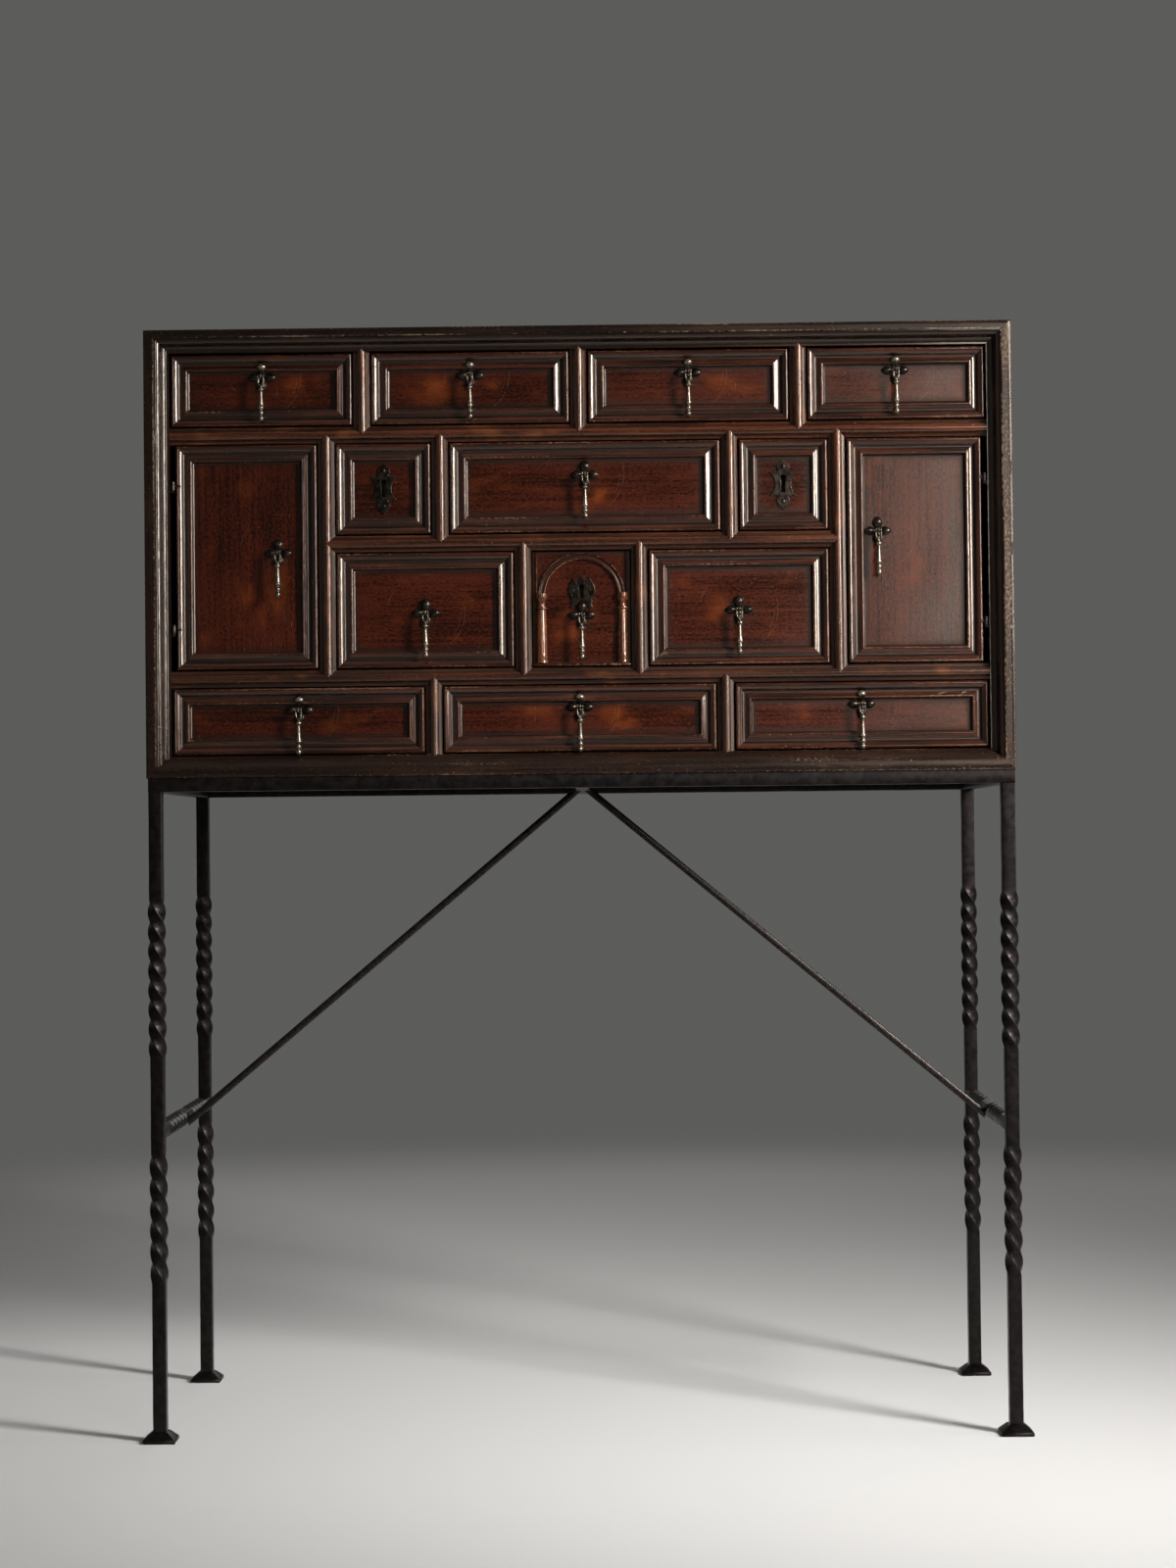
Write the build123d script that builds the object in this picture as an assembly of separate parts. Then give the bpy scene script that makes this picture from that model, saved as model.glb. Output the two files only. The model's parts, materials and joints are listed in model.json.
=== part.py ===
"""Vargueno: a fall-front writing chest of small drawers on a wrought-iron stand.

Millimetres, +Z up. The origin is on the floor under the middle of the chest; the drawer
fronts face -Y. Every node is written to parts/ as its own STEP file.
"""
from build123d import *
from math import ceil
import os

# ---- chest: boards and rows -------------------------------------------------------------
CASE_W = 960.0          # overall width of the chest
CASE_D = 390.0          # overall depth of the chest
SIDE_T = 26.0           # side boards
END_T = 24.0            # top and bottom boards
BACK_T = 14.0           # back board, let into a rebate
BACK_REBATE = 12.0      # how far that rebate cuts into the boards
ROW_1_H = 83.0          # clear height of each row of drawers, from the top down
ROW_2_H = 104.0
ROW_3_H = 131.0
ROW_4_H = 77.0
SHELF_T = 18.0          # shelves between the rows
PARTITION_T = 12.0      # uprights between the drawers
HOUSING = 4.0           # depth of the housings that shelves and uprights sit in
ROW_1_X = (-240.0, 1.5, 245.5)      # middles of the uprights in each row
CUPBOARD_X = (-280.0, 288.0)
ROW_2_X = (-153.5, 168.5)
ROW_3_X = (-62.0, 67.0)
ROW_4_X = (-162.5, 161.5)

# ---- mouldings and facings --------------------------------------------------------------
RIM_W = 16.0            # case moulding: width and depth
RIM_D = 18.0
QUIRK_W = 1.5           # quirk of the case moulding
QUIRK_D = 2.5
OVOLO_W = 6.5           # ovolo beside the quirk
OVOLO_D = 6.0
OVOLO_R = 6.8
RIM_STEP_D = 1.5        # step below the ovolo
COVE_R = 7.5            # cove from the step down to the inner edge
RIM_TOE_W = 1.0
RIM_TOE_H = 2.0
BEVEL_H = 12.0          # slope on the front edge of the bottom board
BEVEL_D = 17.0
CARCASE_SETBACK = 25.0  # front edges of shelves and uprights, behind the case front
BEAD_R = 5.5            # half-round bead on each facing
FILLET_H = 3.0          # flat beside the bead, above the wood that carries it
FACING_EDGE_H = 2.0
RIM_REACH = 6.0         # how far a facing's pointed end runs into the case moulding

# ---- drawer fronts and doors ------------------------------------------------------------
FRONT_GAP = 1.5         # gap all round a drawer front or door
PANEL_SETBACK = 27.0    # flat of the fronts, behind the case front
FRAME_W = 20.0          # mitred moulding on each front
FRAME_H = 8.0
FRAME_EDGE_H = 6.5      # outer edge of that moulding, below its ridge
RIDGE_START = 2.0
RIDGE_END = 4.5
OGEE_END = 10.5
GROOVE_H = 2.4
INNER_BEAD_S = 14.5
INNER_BEAD_H = 4.4
INNER_BEAD_FLAT = 1.5
FRAME_TOE_H = 0.8
FRONT_T = 14.0          # front board
DRAWER_REAR_GAP = 9.0   # between a drawer's back and the back board of the chest
DRAWER_SIDE_T = 8.0
DRAWER_BACK_T = 8.0
DRAWER_BOTTOM_T = 6.0
BOTTOM_LIFT = 2.0       # drawer bottom, above the lower edges of the sides
SIDE_DROP = 5.0         # sides and back stop this far below the front's top edge
RUN_GAP = 0.3           # under the drawer sides
DOVETAIL_LAP = 5.0      # wood left in front of the dovetails
DOVETAIL_PITCH = 40.0
DOVETAIL_SHARE = 0.55   # width of a tail as a share of its pitch
DOVETAIL_FLARE = 3.0

# ---- arch on the narrow drawer ----------------------------------------------------------
ARCH_R = 48.5           # outside of the arch band
ARCH_BAND = 7.0
ARCH_SPRING = 78.0      # middle of the arch, above the front's lower edge
SILL_H = 3.5            # sill that the columns stand on
SILL_D = 7.0
COLUMN_STEPS = (        # height above the sill, and radius
    (0.0, 7.0), (3.8, 7.0), (4.3, 6.1), (5.5, 6.1), (6.0, 7.0), (7.8, 7.0), (8.4, 6.5),
    (59.5, 5.1), (60.0, 7.0), (62.6, 7.0), (63.4, 4.7), (68.5, 4.7), (72.0, 7.0), (78.0, 7.0))
LISTEL_W = 2.0          # fine strip between each capital and the front's top edge
LISTEL_H = 2.0
LISTEL_IN = 3.0         # from the side edge of the front

# ---- door hinges ------------------------------------------------------------------------
HINGE_GAP = 6.0         # between a door's hung edge and the case side
HINGE_INSET = 45.0      # hinge eye, from the door's top and bottom
PIN_R = 1.5
PIN_FIT = 0.05          # radial clearance of pin in eye
EYE_R = 2.6
EYE_H = 10.0
EYE_LIFT = 0.2          # gap between the eye and the arm below it
PIN_PROUD = 0.8         # pin's end, above the eye
TANG = 2.4              # square of the pintle's arm and the eye's tang
TANG_L = 6.0
TANG_ROOT = 2.1         # tang's root, from the hinge's axis
ARM_L = 9.0

# ---- pulls ------------------------------------------------------------------------------
PLATE_T = 1.6           # four-petalled plate
PETAL_TIP = 16.0
PETAL_W = 11.0
PETAL_WIDEST = 8.5
PETAL_ROOT = 3.0
BOSS_R = 3.9            # raised boss on each petal
BOSS_TOP_R = 1.8
BOSS_H = 2.6
BOSS_OUT = 9.3
LUG_W = 3.0             # lug that carries the drop
LUG_H = 5.0
LUG_NOSE = 2.4          # lug beyond the pin's axis
LUG_NOSE_H = 2.5
STANDOFF = 13.0         # pin's axis, in front of the panel
PULL_PIN_R = 1.2
PULL_PIN_FIT = 0.05
FORK_GAP = 0.4          # between the lug and each prong
PRONG_T = 2.0
PRONG_D = 4.0
PRONG_TOP = 2.2         # prong above the pin's axis
PRONG_L = 11.0          # pin's axis to the crotch of the fork
CROTCH_H = 2.5
DROP_STEPS = (          # distance below the fork, and radius
    (0.0, 2.0), (0.8, 3.3), (2.4, 3.3), (3.4, 1.9), (20.0, 2.8), (20.8, 3.3), (22.8, 3.3), (23.8, 2.1),
    (25.2, 2.1), (26.6, 2.9), (29.0, 2.9), (30.6, 1.9), (31.8, 2.9), (35.0, 2.9), (37.0, 1.2))

# ---- locks ------------------------------------------------------------------------------
SMALL_SCUTCHEON = (     # right half of the escutcheon of the two small locked drawers
    (0.0, 27.2), (2.5, 25.0), (5.5, 21.8), (7.2, 18.4), (6.6, 15.6), (5.0, 14.0), (8.4, 12.2),
    (14.8, 13.2), (12.6, 10.0), (10.2, 6.6), (9.0, 3.4), (8.6, 0.0), (9.0, -3.6), (10.0, -7.2),
    (12.2, -10.6), (14.4, -13.0), (8.4, -13.4), (5.2, -14.6), (7.0, -17.4), (6.8, -20.4),
    (4.8, -24.0), (2.0, -27.6), (0.0, -29.4))
ARCH_SCUTCHEON = (      # right half of the arched drawer's; its legs straddle a petal of the pull
    (0.0, 18.2), (1.6, 14.8), (3.4, 12.6), (5.8, 12.0), (8.0, 13.0), (9.8, 15.4), (10.8, 12.0), (12.8, 9.0),
    (14.5, 5.0), (15.0, 1.0), (14.2, -3.4), (12.4, -6.6), (10.8, -8.6), (11.8, -11.2), (11.2, -14.6),
    (12.4, -18.6), (8.8, -19.4), (7.2, -17.2), (6.2, -14.4), (4.0, -11.6), (0.0, -9.4))
SCUTCHEON_T = 1.6
SMALL_NAILS = ((0.0, 19.2), (0.0, -20.0))
SMALL_NAIL = (2.3, 1.5)             # radius and height of a domed head
ARCH_NAILS = ((-9.4, 1.0), (9.4, 1.0))
ARCH_NAIL = (1.6, 1.1)
KEYHOLE_R = 3.2
KEYHOLE_SLOT = 4.8
KEYHOLE_H = 20.0
ARCH_KEYHOLE_H = 16.0
LOCK_W = 40.0
LOCK_D = 9.0
LOCK_BELOW_KEY = 16.0   # lock case below the middle of the keyhole
BOLT_W = 14.0
BOLT_T = 4.5
BOLT_L = 26.0
BOLT_FIT = 0.3
BOLT_TRAVEL = 6.0
MORTISE_FIT = 1.2       # round the bolt in the shelf above
MORTISE_DEPTH = BOLT_TRAVEL + 2.0

# ---- where the pulls sit, from the middle of each front ---------------------------------
PULL_UP_ROW_1 = 15.0
PULL_UP_ROW_2 = 14.0
PULL_UP_ROW_3 = -3.0
PULL_UP_ARCH = -7.0
PULL_UP_ROW_4 = 12.5
PULL_UP_DOORS = (4.5, 22.0)
PULL_IN_DOORS = (44.0, 34.0)        # from each door's free edge
KEY_UP_SMALL = 1.5
KEY_UP_ARCH = PULL_UP_ARCH + 26.5

# ---- stand ------------------------------------------------------------------------------
STAND_H = 730.0
BAR = 15.0              # square bar of rails, legs and stretchers
STAND_INSET = 2.0       # stand inside the chest, each side
UPPER_TWIST_Z = 423.0   # start, length and quarter turns of each twisted stretch
UPPER_TWIST_L = 172.0
UPPER_QUARTERS = 8
LOWER_TWIST_Z = 175.0
LOWER_TWIST_L = 140.0
LOWER_QUARTERS = 6
STRETCHER_Z = 340.0     # middle of the side stretchers
STRETCHER_PLAIN = 32.0  # plain bar at each end, and half of the plain seat in the middle
STRETCHER_SEAT = 24.0
STRETCHER_QUARTERS = 5
FOOT_W = 36.0
FOOT_RIM = 4.0
FOOT_H = 11.0
FOOT_TOP_W = 20.0
BRACE_T = 8.0           # brace bar, seen from the front
BRACE_W = 11.0          # brace bar, front to back
BRACE_TOP_X = 14.0      # upper end of a brace, from the middle

# ---- heights and places that follow -----------------------------------------------------
FLOOR_Z = STAND_H + END_T
SHELF_3_Z = FLOOR_Z + ROW_4_H
SHELF_2_Z = SHELF_3_Z + SHELF_T + ROW_3_H
SHELF_1_Z = SHELF_2_Z + SHELF_T + ROW_2_H
CEILING_Z = SHELF_1_Z + SHELF_T + ROW_1_H
TOP_Z = CEILING_Z + END_T
OUTER_X = CASE_W / 2
INNER_X = OUTER_X - SIDE_T
FRONT_Y = -CASE_D / 2
REAR_Y = CASE_D / 2
INNER_REAR_Y = REAR_Y - BACK_T
CARCASE_Y = FRONT_Y + CARCASE_SETBACK
PANEL_Y = FRONT_Y + PANEL_SETBACK
DRAWER_L = INNER_REAR_Y - DRAWER_REAR_GAP - PANEL_Y     # front board's face to the back
HINGE_Y = PANEL_Y - FRAME_H + 1.0
BOLT_Y = PANEL_Y + FRONT_T + LOCK_D / 2
FACING_W = SHELF_T
LEG_X = OUTER_X - STAND_INSET - BAR / 2
LEG_Y = REAR_Y - BAR / 2
RAIL_Z = STAND_H - BAR

RIGHT = (1, 0, 0)
LEFT = (-1, 0, 0)
FORWARD = (0, -1, 0)
BACKWARD = (0, 1, 0)
UP = (0, 0, 1)
DOWN = (0, 0, -1)


# ---- helpers ----------------------------------------------------------------------------
def block(x0, x1, y0, y1, z0, z1):
    """A rectangular block between two corners."""
    centre = Pos((x0 + x1) / 2, (y0 + y1) / 2, (z0 + z1) / 2)
    return centre * Box(x1 - x0, y1 - y0, z1 - z0)


def front_prism(points, y_back, depth):
    """An outline drawn in X and Z, carried forward from y_back."""
    plane = Plane((0, y_back, 0), x_dir=RIGHT, z_dir=FORWARD)
    return extrude(plane * Polygon(*points, align=None), depth, dir=FORWARD)


def side_prism(points, x_start, depth):
    """An outline drawn in Y and Z, carried to the right from x_start."""
    plane = Plane((x_start, 0, 0), x_dir=BACKWARD, z_dir=RIGHT)
    return extrude(plane * Polygon(*points, align=None), depth, dir=RIGHT)


def bar_along(section, start, across, run, length):
    """A section carried along a run; its own x lies along across."""
    return extrude(Plane(start, x_dir=across, z_dir=run) * section, length, dir=run)


def facing_outline(middle, low, high, reach_low, reach_high):
    """Six-sided outline of a facing: straight sides and a point at each end."""
    half = FACING_W / 2
    return [(low - reach_low, middle), (low, middle + half), (high, middle + half),
            (high + reach_high, middle), (high, middle - half), (low, middle - half)]


def save(name, *shapes):
    """Write one node: every solid of the given shapes."""
    solids = [solid for shape in shapes for solid in shape.solids()]
    export_step(Compound(children=solids), f"parts/{name}.step")


# ---- chest ------------------------------------------------------------------------------
def case_boards():
    """Four boards mitred at the corners, rebated in front and behind."""
    x, xi = OUTER_X, INNER_X
    z0, zi0, z1, zi1 = STAND_H, FLOOR_Z, TOP_Z, CEILING_Z
    boards = {
        "case_top": [(-x, z1), (x, z1), (xi, zi1), (-xi, zi1)],
        "case_bottom": [(-x, z0), (x, z0), (xi, zi0), (-xi, zi0)],
        "case_left_side": [(-x, z0), (-x, z1), (-xi, zi1), (-xi, zi0)],
        "case_right_side": [(x, z0), (x, z1), (xi, zi1), (xi, zi0)],
    }
    boards = {name: front_prism(outline, REAR_Y, CASE_D) for name, outline in boards.items()}
    rim_x = xi + RIM_W
    rim_seat = block(-rim_x, rim_x, FRONT_Y, FRONT_Y + RIM_D, z0, zi1 + RIM_W)
    for name in ("case_top", "case_left_side", "case_right_side"):
        boards[name] -= rim_seat
    slope = [(FRONT_Y, zi0 - BEVEL_H), (FRONT_Y, zi0), (FRONT_Y + BEVEL_D, zi0)]
    boards["case_bottom"] -= side_prism(slope, -x, CASE_W)
    back = back_board()
    return {name: board - back for name, board in boards.items()}


def back_board():
    x = INNER_X + BACK_REBATE
    low, high = FLOOR_Z - BACK_REBATE, CEILING_Z + BACK_REBATE
    return block(-x, x, INNER_REAR_Y, REAR_Y, low, high)


def rim_section():
    """Case moulding: a quirk, an ovolo, a step and a cove down to the inner edge."""
    ovolo_top = (QUIRK_W, RIM_D - QUIRK_D)
    ovolo_foot = (QUIRK_W + OVOLO_W, RIM_D - QUIRK_D - OVOLO_D)
    step_foot = (ovolo_foot[0], ovolo_foot[1] - RIM_STEP_D)
    cove_foot = (RIM_W - RIM_TOE_W, RIM_TOE_H)
    line = Polyline((RIM_W, 0), (0, 0), (0, RIM_D), (QUIRK_W, RIM_D), ovolo_top)
    ovolo = RadiusArc(ovolo_top, ovolo_foot, OVOLO_R)
    step = Polyline(ovolo_foot, step_foot)
    cove = RadiusArc(step_foot, cove_foot, -COVE_R)
    toe = Polyline(cove_foot, (RIM_W, RIM_TOE_H), (RIM_W, 0))
    return make_face(line + ovolo + step + cove + toe)


def case_mouldings():
    """Left, top and right strips; the side strips die on the bottom board's mitre."""
    xi, xr = INNER_X, INNER_X + RIM_W
    zi, zr = CEILING_Z, CEILING_Z + RIM_W
    z_mitre = FLOOR_Z - RIM_W * END_T / SIDE_T
    y = FRONT_Y + RIM_D
    section = rim_section()
    span = zr - STAND_H
    left = bar_along(section, (-xr, y, zr), RIGHT, DOWN, span)
    top = bar_along(section, (xr, y, zr), DOWN, LEFT, 2 * xr)
    right = bar_along(section, (xr, y, STAND_H), LEFT, UP, span)
    left_outline = [(-xr, z_mitre), (-xr, zr), (-xi, zi), (-xi, FLOOR_Z)]
    top_outline = [(-xr, zr), (xr, zr), (xi, zi), (-xi, zi)]
    right_outline = [(-px, pz) for px, pz in left_outline]
    return [left & front_prism(left_outline, y, RIM_D),
            top & front_prism(top_outline, y, RIM_D),
            right & front_prism(right_outline, y, RIM_D)]


def upright(x, z0, z1):
    """A partition between two levels, let into the boards above and below."""
    half = PARTITION_T / 2
    return block(x - half, x + half, CARCASE_Y, INNER_REAR_Y, z0 - HOUSING, z1 + HOUSING)


def tall_partitions():
    return [upright(x, SHELF_3_Z + SHELF_T, SHELF_1_Z) for x in CUPBOARD_X]


def short_partitions():
    rows = ((ROW_1_X, SHELF_1_Z + SHELF_T, CEILING_Z), (ROW_2_X, SHELF_2_Z + SHELF_T, SHELF_1_Z),
            (ROW_3_X, SHELF_3_Z + SHELF_T, SHELF_2_Z), (ROW_4_X, FLOOR_Z, SHELF_3_Z))
    return [upright(x, low, high) for middles, low, high in rows for x in middles]


def shelf(x0, x1, z):
    return block(x0 - HOUSING, x1 + HOUSING, CARCASE_Y, INNER_REAR_Y, z, z + SHELF_T)


def carcase(pockets):
    """Shelves and partitions, each housed in what it meets; pockets are the bolts' mortises."""
    half = PARTITION_T / 2
    left, right = CUPBOARD_X
    middle = shelf(left + half, right - half, SHELF_2_Z)
    tall = [board - middle for board in tall_partitions()]
    short = short_partitions()
    shelves = [shelf(-INNER_X, INNER_X, SHELF_1_Z), middle, shelf(-INNER_X, INNER_X, SHELF_3_Z)]
    for cutter in (*tall, *short, *pockets):
        shelves = [board - cutter for board in shelves]
    return shelves, tall + short


def facing_section():
    """A half-round bead between two low flats."""
    edge = FACING_W / 2
    sides = Polyline((BEAD_R, FILLET_H), (edge, FACING_EDGE_H), (edge, 0), (-edge, 0),
                     (-edge, FACING_EDGE_H), (-BEAD_R, FILLET_H))
    bead = ThreePointArc((-BEAD_R, FILLET_H), (0, FILLET_H + BEAD_R), (BEAD_R, FILLET_H))
    return make_face(sides + bead)


def facing_plan():
    """Middle, ends and reach of every facing, in the order in which they were fitted."""
    half = FACING_W / 2
    mid_1, mid_2, mid_3 = (z + half for z in (SHELF_1_Z, SHELF_2_Z, SHELF_3_Z))
    left, right = CUPBOARD_X
    rim = RIM_REACH
    plan = [("across", mid_1, -INNER_X, INNER_X, rim, rim),
            ("across", mid_3, -INNER_X, INNER_X, rim, rim)]
    plan += [("upright", x, mid_3 + half, mid_1 - half, half, half) for x in CUPBOARD_X]
    plan += [("across", mid_2, left + half, right - half, half, half)]
    plan += [("upright", x, mid_1 + half, CEILING_Z, half, rim) for x in ROW_1_X]
    plan += [("upright", x, mid_2 + half, mid_1 - half, half, half) for x in ROW_2_X]
    plan += [("upright", x, mid_3 + half, mid_2 - half, half, half) for x in ROW_3_X]
    plan += [("upright", x, FLOOR_Z, mid_3 - half, rim, half) for x in ROW_4_X]
    return plan


def facing_prism(way, middle, low, high, reach_low, reach_high):
    """The pointed outline of one facing, from its seat to the front of the chest."""
    outline = facing_outline(middle, low, high, reach_low, reach_high)
    if way == "upright":
        outline = [(across, along) for along, across in outline]
    return front_prism(outline, CARCASE_Y, CARCASE_SETBACK)


def facing_bead(way, middle, low, high, reach_low, reach_high):
    length = high - low + reach_low + reach_high
    if way == "upright":
        return bar_along(facing_section(), (middle, CARCASE_Y, low - reach_low), LEFT, UP, length)
    return bar_along(facing_section(), (low - reach_low, CARCASE_Y, middle), UP, RIGHT, length)


def facings():
    """Beads whose pointed ends sit in bird's-mouth notches of the bead they meet."""
    plan = facing_plan()
    prisms = [facing_prism(*entry) for entry in plan]
    pieces = []
    for place, entry in enumerate(plan):
        piece = facing_bead(*entry) & prisms[place]
        for later in prisms[place + 1:]:
            piece -= later
        pieces.append(piece)
    return pieces, prisms


# ---- fronts -----------------------------------------------------------------------------
def frame_section():
    """Front moulding: a high ridge near the edge, an ogee, a groove and an inner bead."""
    middle_s = (RIDGE_END + OGEE_END) / 2
    middle_h = (FRAME_H + GROOVE_H) / 2
    edge = Polyline((FRAME_W, 0), (0, 0), (0, FRAME_EDGE_H), (RIDGE_START, FRAME_H), (RIDGE_END, FRAME_H))
    crown = TangentArc((RIDGE_END, FRAME_H), (middle_s, middle_h), tangent=(1, 0))
    hollow = TangentArc((OGEE_END, GROOVE_H), (middle_s, middle_h), tangent=(-1, 0))
    inner = Polyline((OGEE_END, GROOVE_H), (INNER_BEAD_S, INNER_BEAD_H),
                     (INNER_BEAD_S + INNER_BEAD_FLAT, INNER_BEAD_H), (FRAME_W, FRAME_TOE_H), (FRAME_W, 0))
    return make_face(edge + crown + hollow + inner)


def mitred_side(start, run, inward, length):
    """One moulding strip with its ends cut at 45 degrees."""
    strip = bar_along(frame_section(), start, inward, run, length)
    outline = Polygon((0, 0), (length, 0), (length - FRAME_W, FRAME_W), (FRAME_W, FRAME_W), align=None)
    wedge = extrude(Plane(start, x_dir=run, z_dir=FORWARD) * outline, FRAME_H, dir=FORWARD)
    return strip & wedge


def frame(x0, x1, z0, z1):
    """Four mitred strips round the face of a drawer or door."""
    return [mitred_side((x0, PANEL_Y, z0), RIGHT, UP, x1 - x0),
            mitred_side((x1, PANEL_Y, z0), UP, LEFT, z1 - z0),
            mitred_side((x1, PANEL_Y, z1), LEFT, DOWN, x1 - x0),
            mitred_side((x0, PANEL_Y, z1), DOWN, RIGHT, z1 - z0)]


def arch_front(x0, x1, z0, z1):
    """An arch band that springs from two turned half columns on a sill, and two fine strips above them."""
    middle = (x0 + x1) / 2
    spring = z0 + ARCH_SPRING
    radius = ARCH_R - ARCH_BAND / 2
    half_round = Plane((middle + radius, PANEL_Y, spring), x_dir=RIGHT, z_dir=UP)
    band = half_round * (Circle(ARCH_BAND / 2) & Pos(0, -ARCH_BAND / 4) * Rectangle(ARCH_BAND, ARCH_BAND / 2))
    arch = revolve(band, Axis((middle, PANEL_Y, spring), FORWARD), 180)
    columns = [half_column(middle + side * radius, z0 + SILL_H) for side in (-1, 1)]
    arch -= columns[0]
    arch -= columns[1]
    sill = block(x0, x1, PANEL_Y - SILL_D, PANEL_Y, z0, z0 + SILL_H)
    low = z0 + SILL_H + COLUMN_STEPS[-1][0]
    starts = (x0 + LISTEL_IN, x1 - LISTEL_IN - LISTEL_W)
    listels = [block(x, x + LISTEL_W, PANEL_Y - LISTEL_H, PANEL_Y, low, z1) for x in starts]
    return [arch, *columns, sill, *listels]


def half_column(x, low):
    """A turned half column: base rings, a shaft that tapers upwards, and a capital above a neck."""
    outline = [(0, low), *[(radius, low + up) for up, radius in COLUMN_STEPS]]
    outline.append((0, low + COLUMN_STEPS[-1][0]))
    profile = Plane((x, PANEL_Y, 0), x_dir=RIGHT, z_dir=FORWARD) * Polygon(*outline, align=None)
    return revolve(profile, Axis((x, PANEL_Y, 0), DOWN), 180)


def tail_points(low, high):
    """Front edge of a drawer side: dovetails that widen towards the front."""
    shoulder, tip = PANEL_Y + FRONT_T, PANEL_Y + DOVETAIL_LAP
    count = max(2, ceil((high - low) / DOVETAIL_PITCH - 0.5))
    pitch = (high - low) / count
    half = DOVETAIL_SHARE * pitch / 2
    root = half - DOVETAIL_FLARE / 2
    points = []
    for place in range(count):
        middle = low + (place + 0.5) * pitch
        points += [(shoulder, middle - root), (tip, middle - half)]
        points += [(tip, middle + half), (shoulder, middle + root)]
    return points


def drawer_wood(opening, arched, keyhole, seat):
    """Front, applied moulding, dovetailed sides, back and bottom of one drawer."""
    x0, x1, z0, z1 = front_of(opening)
    low, high = opening[2] + RUN_GAP, z1 - SIDE_DROP
    shoulder, end = PANEL_Y + FRONT_T, PANEL_Y + DRAWER_L
    outline = [(shoulder, low), *tail_points(low, high), (shoulder, high), (end, high), (end, low)]
    left = side_prism(outline, x0, DRAWER_SIDE_T)
    right = side_prism(outline, x1 - DRAWER_SIDE_T, DRAWER_SIDE_T)
    front = block(x0, x1, PANEL_Y, shoulder, z0, z1) - left - right
    inner_0, inner_1 = x0 + DRAWER_SIDE_T, x1 - DRAWER_SIDE_T
    back = block(inner_0, inner_1, end - DRAWER_BACK_T, end, low, high)
    floor = low + BOTTOM_LIFT
    bottom = block(inner_0, inner_1, shoulder, end - DRAWER_BACK_T, floor, floor + DRAWER_BOTTOM_T)
    if keyhole:
        front -= keyhole
    trim = arch_front(x0, x1, z0, z1) if arched else frame(x0, x1, z0, z1)
    if seat:
        trim = [piece - seat for piece in trim]
    return [front, left, right, back, bottom, *trim]


def front_of(opening):
    x0, x1, z0, z1 = opening
    return x0 + FRONT_GAP, x1 - FRONT_GAP, z0 + FRONT_GAP, z1 - FRONT_GAP


# ---- doors ------------------------------------------------------------------------------
def hinge_heights(z0, z1):
    return [z0 + HINGE_INSET, z1 - HINGE_INSET]


def door_edges(opening, side):
    """Door outline: a wider gap on the hung edge, where side is -1 for the left door."""
    x0, x1, z0, z1 = front_of(opening)
    if side < 0:
        return opening[0] + HINGE_GAP, x1, z0, z1
    return x0, opening[1] - HINGE_GAP, z0, z1


def hinge_eye(x, z, side):
    """A forged eye with a tang that is driven into the door's edge."""
    tang_end = x - side * (HINGE_GAP / 2 + TANG_L)
    low, high = sorted((x - side * TANG_ROOT, tang_end))
    tang = block(low, high, HINGE_Y - TANG / 2, HINGE_Y + TANG / 2, z - TANG / 2, z + TANG / 2)
    eye = Pos(x, HINGE_Y, z) * (Cylinder(EYE_R, EYE_H) - Cylinder(PIN_R + PIN_FIT, EYE_H))
    return eye + tang


def pintle(x, z, side):
    """A pin standing on a square arm that is driven into the case side."""
    seat = z - EYE_H / 2 - EYE_LIFT
    arm_end = x + side * (HINGE_GAP / 2 + ARM_L)
    low, high = sorted((x - side * PIN_R, arm_end))
    arm = block(low, high, HINGE_Y - TANG / 2, HINGE_Y + TANG / 2, seat - TANG, seat)
    pin_h = EYE_H + EYE_LIFT + PIN_PROUD
    return arm + Pos(x, HINGE_Y, seat + pin_h / 2) * Cylinder(PIN_R, pin_h)


def door_wood(edges, cutters):
    x0, x1, z0, z1 = edges
    board = block(x0, x1, PANEL_Y, PANEL_Y + FRONT_T, z0, z1)
    trim = frame(x0, x1, z0, z1)
    for cutter in cutters:
        trim = [piece - cutter for piece in trim]
    return [board, *trim]


# ---- iron fittings ----------------------------------------------------------------------
def plate_outline():
    """Four pointed petals round a square."""
    half = PETAL_W / 2
    petal = Polygon((PETAL_ROOT - 1, -PETAL_ROOT), (PETAL_WIDEST, -half), (PETAL_TIP, 0),
                    (PETAL_WIDEST, half), (PETAL_ROOT - 1, PETAL_ROOT), align=None)
    outline = Rectangle(2 * PETAL_ROOT, 2 * PETAL_ROOT)
    for quarter in range(4):
        outline += Rot(0, 0, 90 * quarter) * petal
    return outline


def petal_seat(x, z):
    """What is cut from a moulding where a petal lies on its inner bead."""
    return extrude(Plane((x, PANEL_Y, z), x_dir=RIGHT, z_dir=FORWARD) * plate_outline(), FRAME_H, dir=FORWARD)


def pull_plate(x, z):
    """Four petals with raised bosses, and the lug that carries the drop."""
    plane = Plane((x, PANEL_Y, z), x_dir=RIGHT, z_dir=FORWARD)
    plate = extrude(plane * plate_outline(), PLATE_T, dir=FORWARD)
    front = plane.offset(PLATE_T)
    bosses = loft([front * RegularPolygon(BOSS_R, 6), front.offset(BOSS_H) * RegularPolygon(BOSS_TOP_R, 6)])
    for quarter in range(4):
        turn = Rot(0, 90 * quarter, 0)
        shift = turn * Pos(BOSS_OUT, 0, 0)
        plate += Pos(x, 0, z) * shift * Pos(-x, 0, -z) * bosses
    return plate + pull_lug(x, z)


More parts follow.
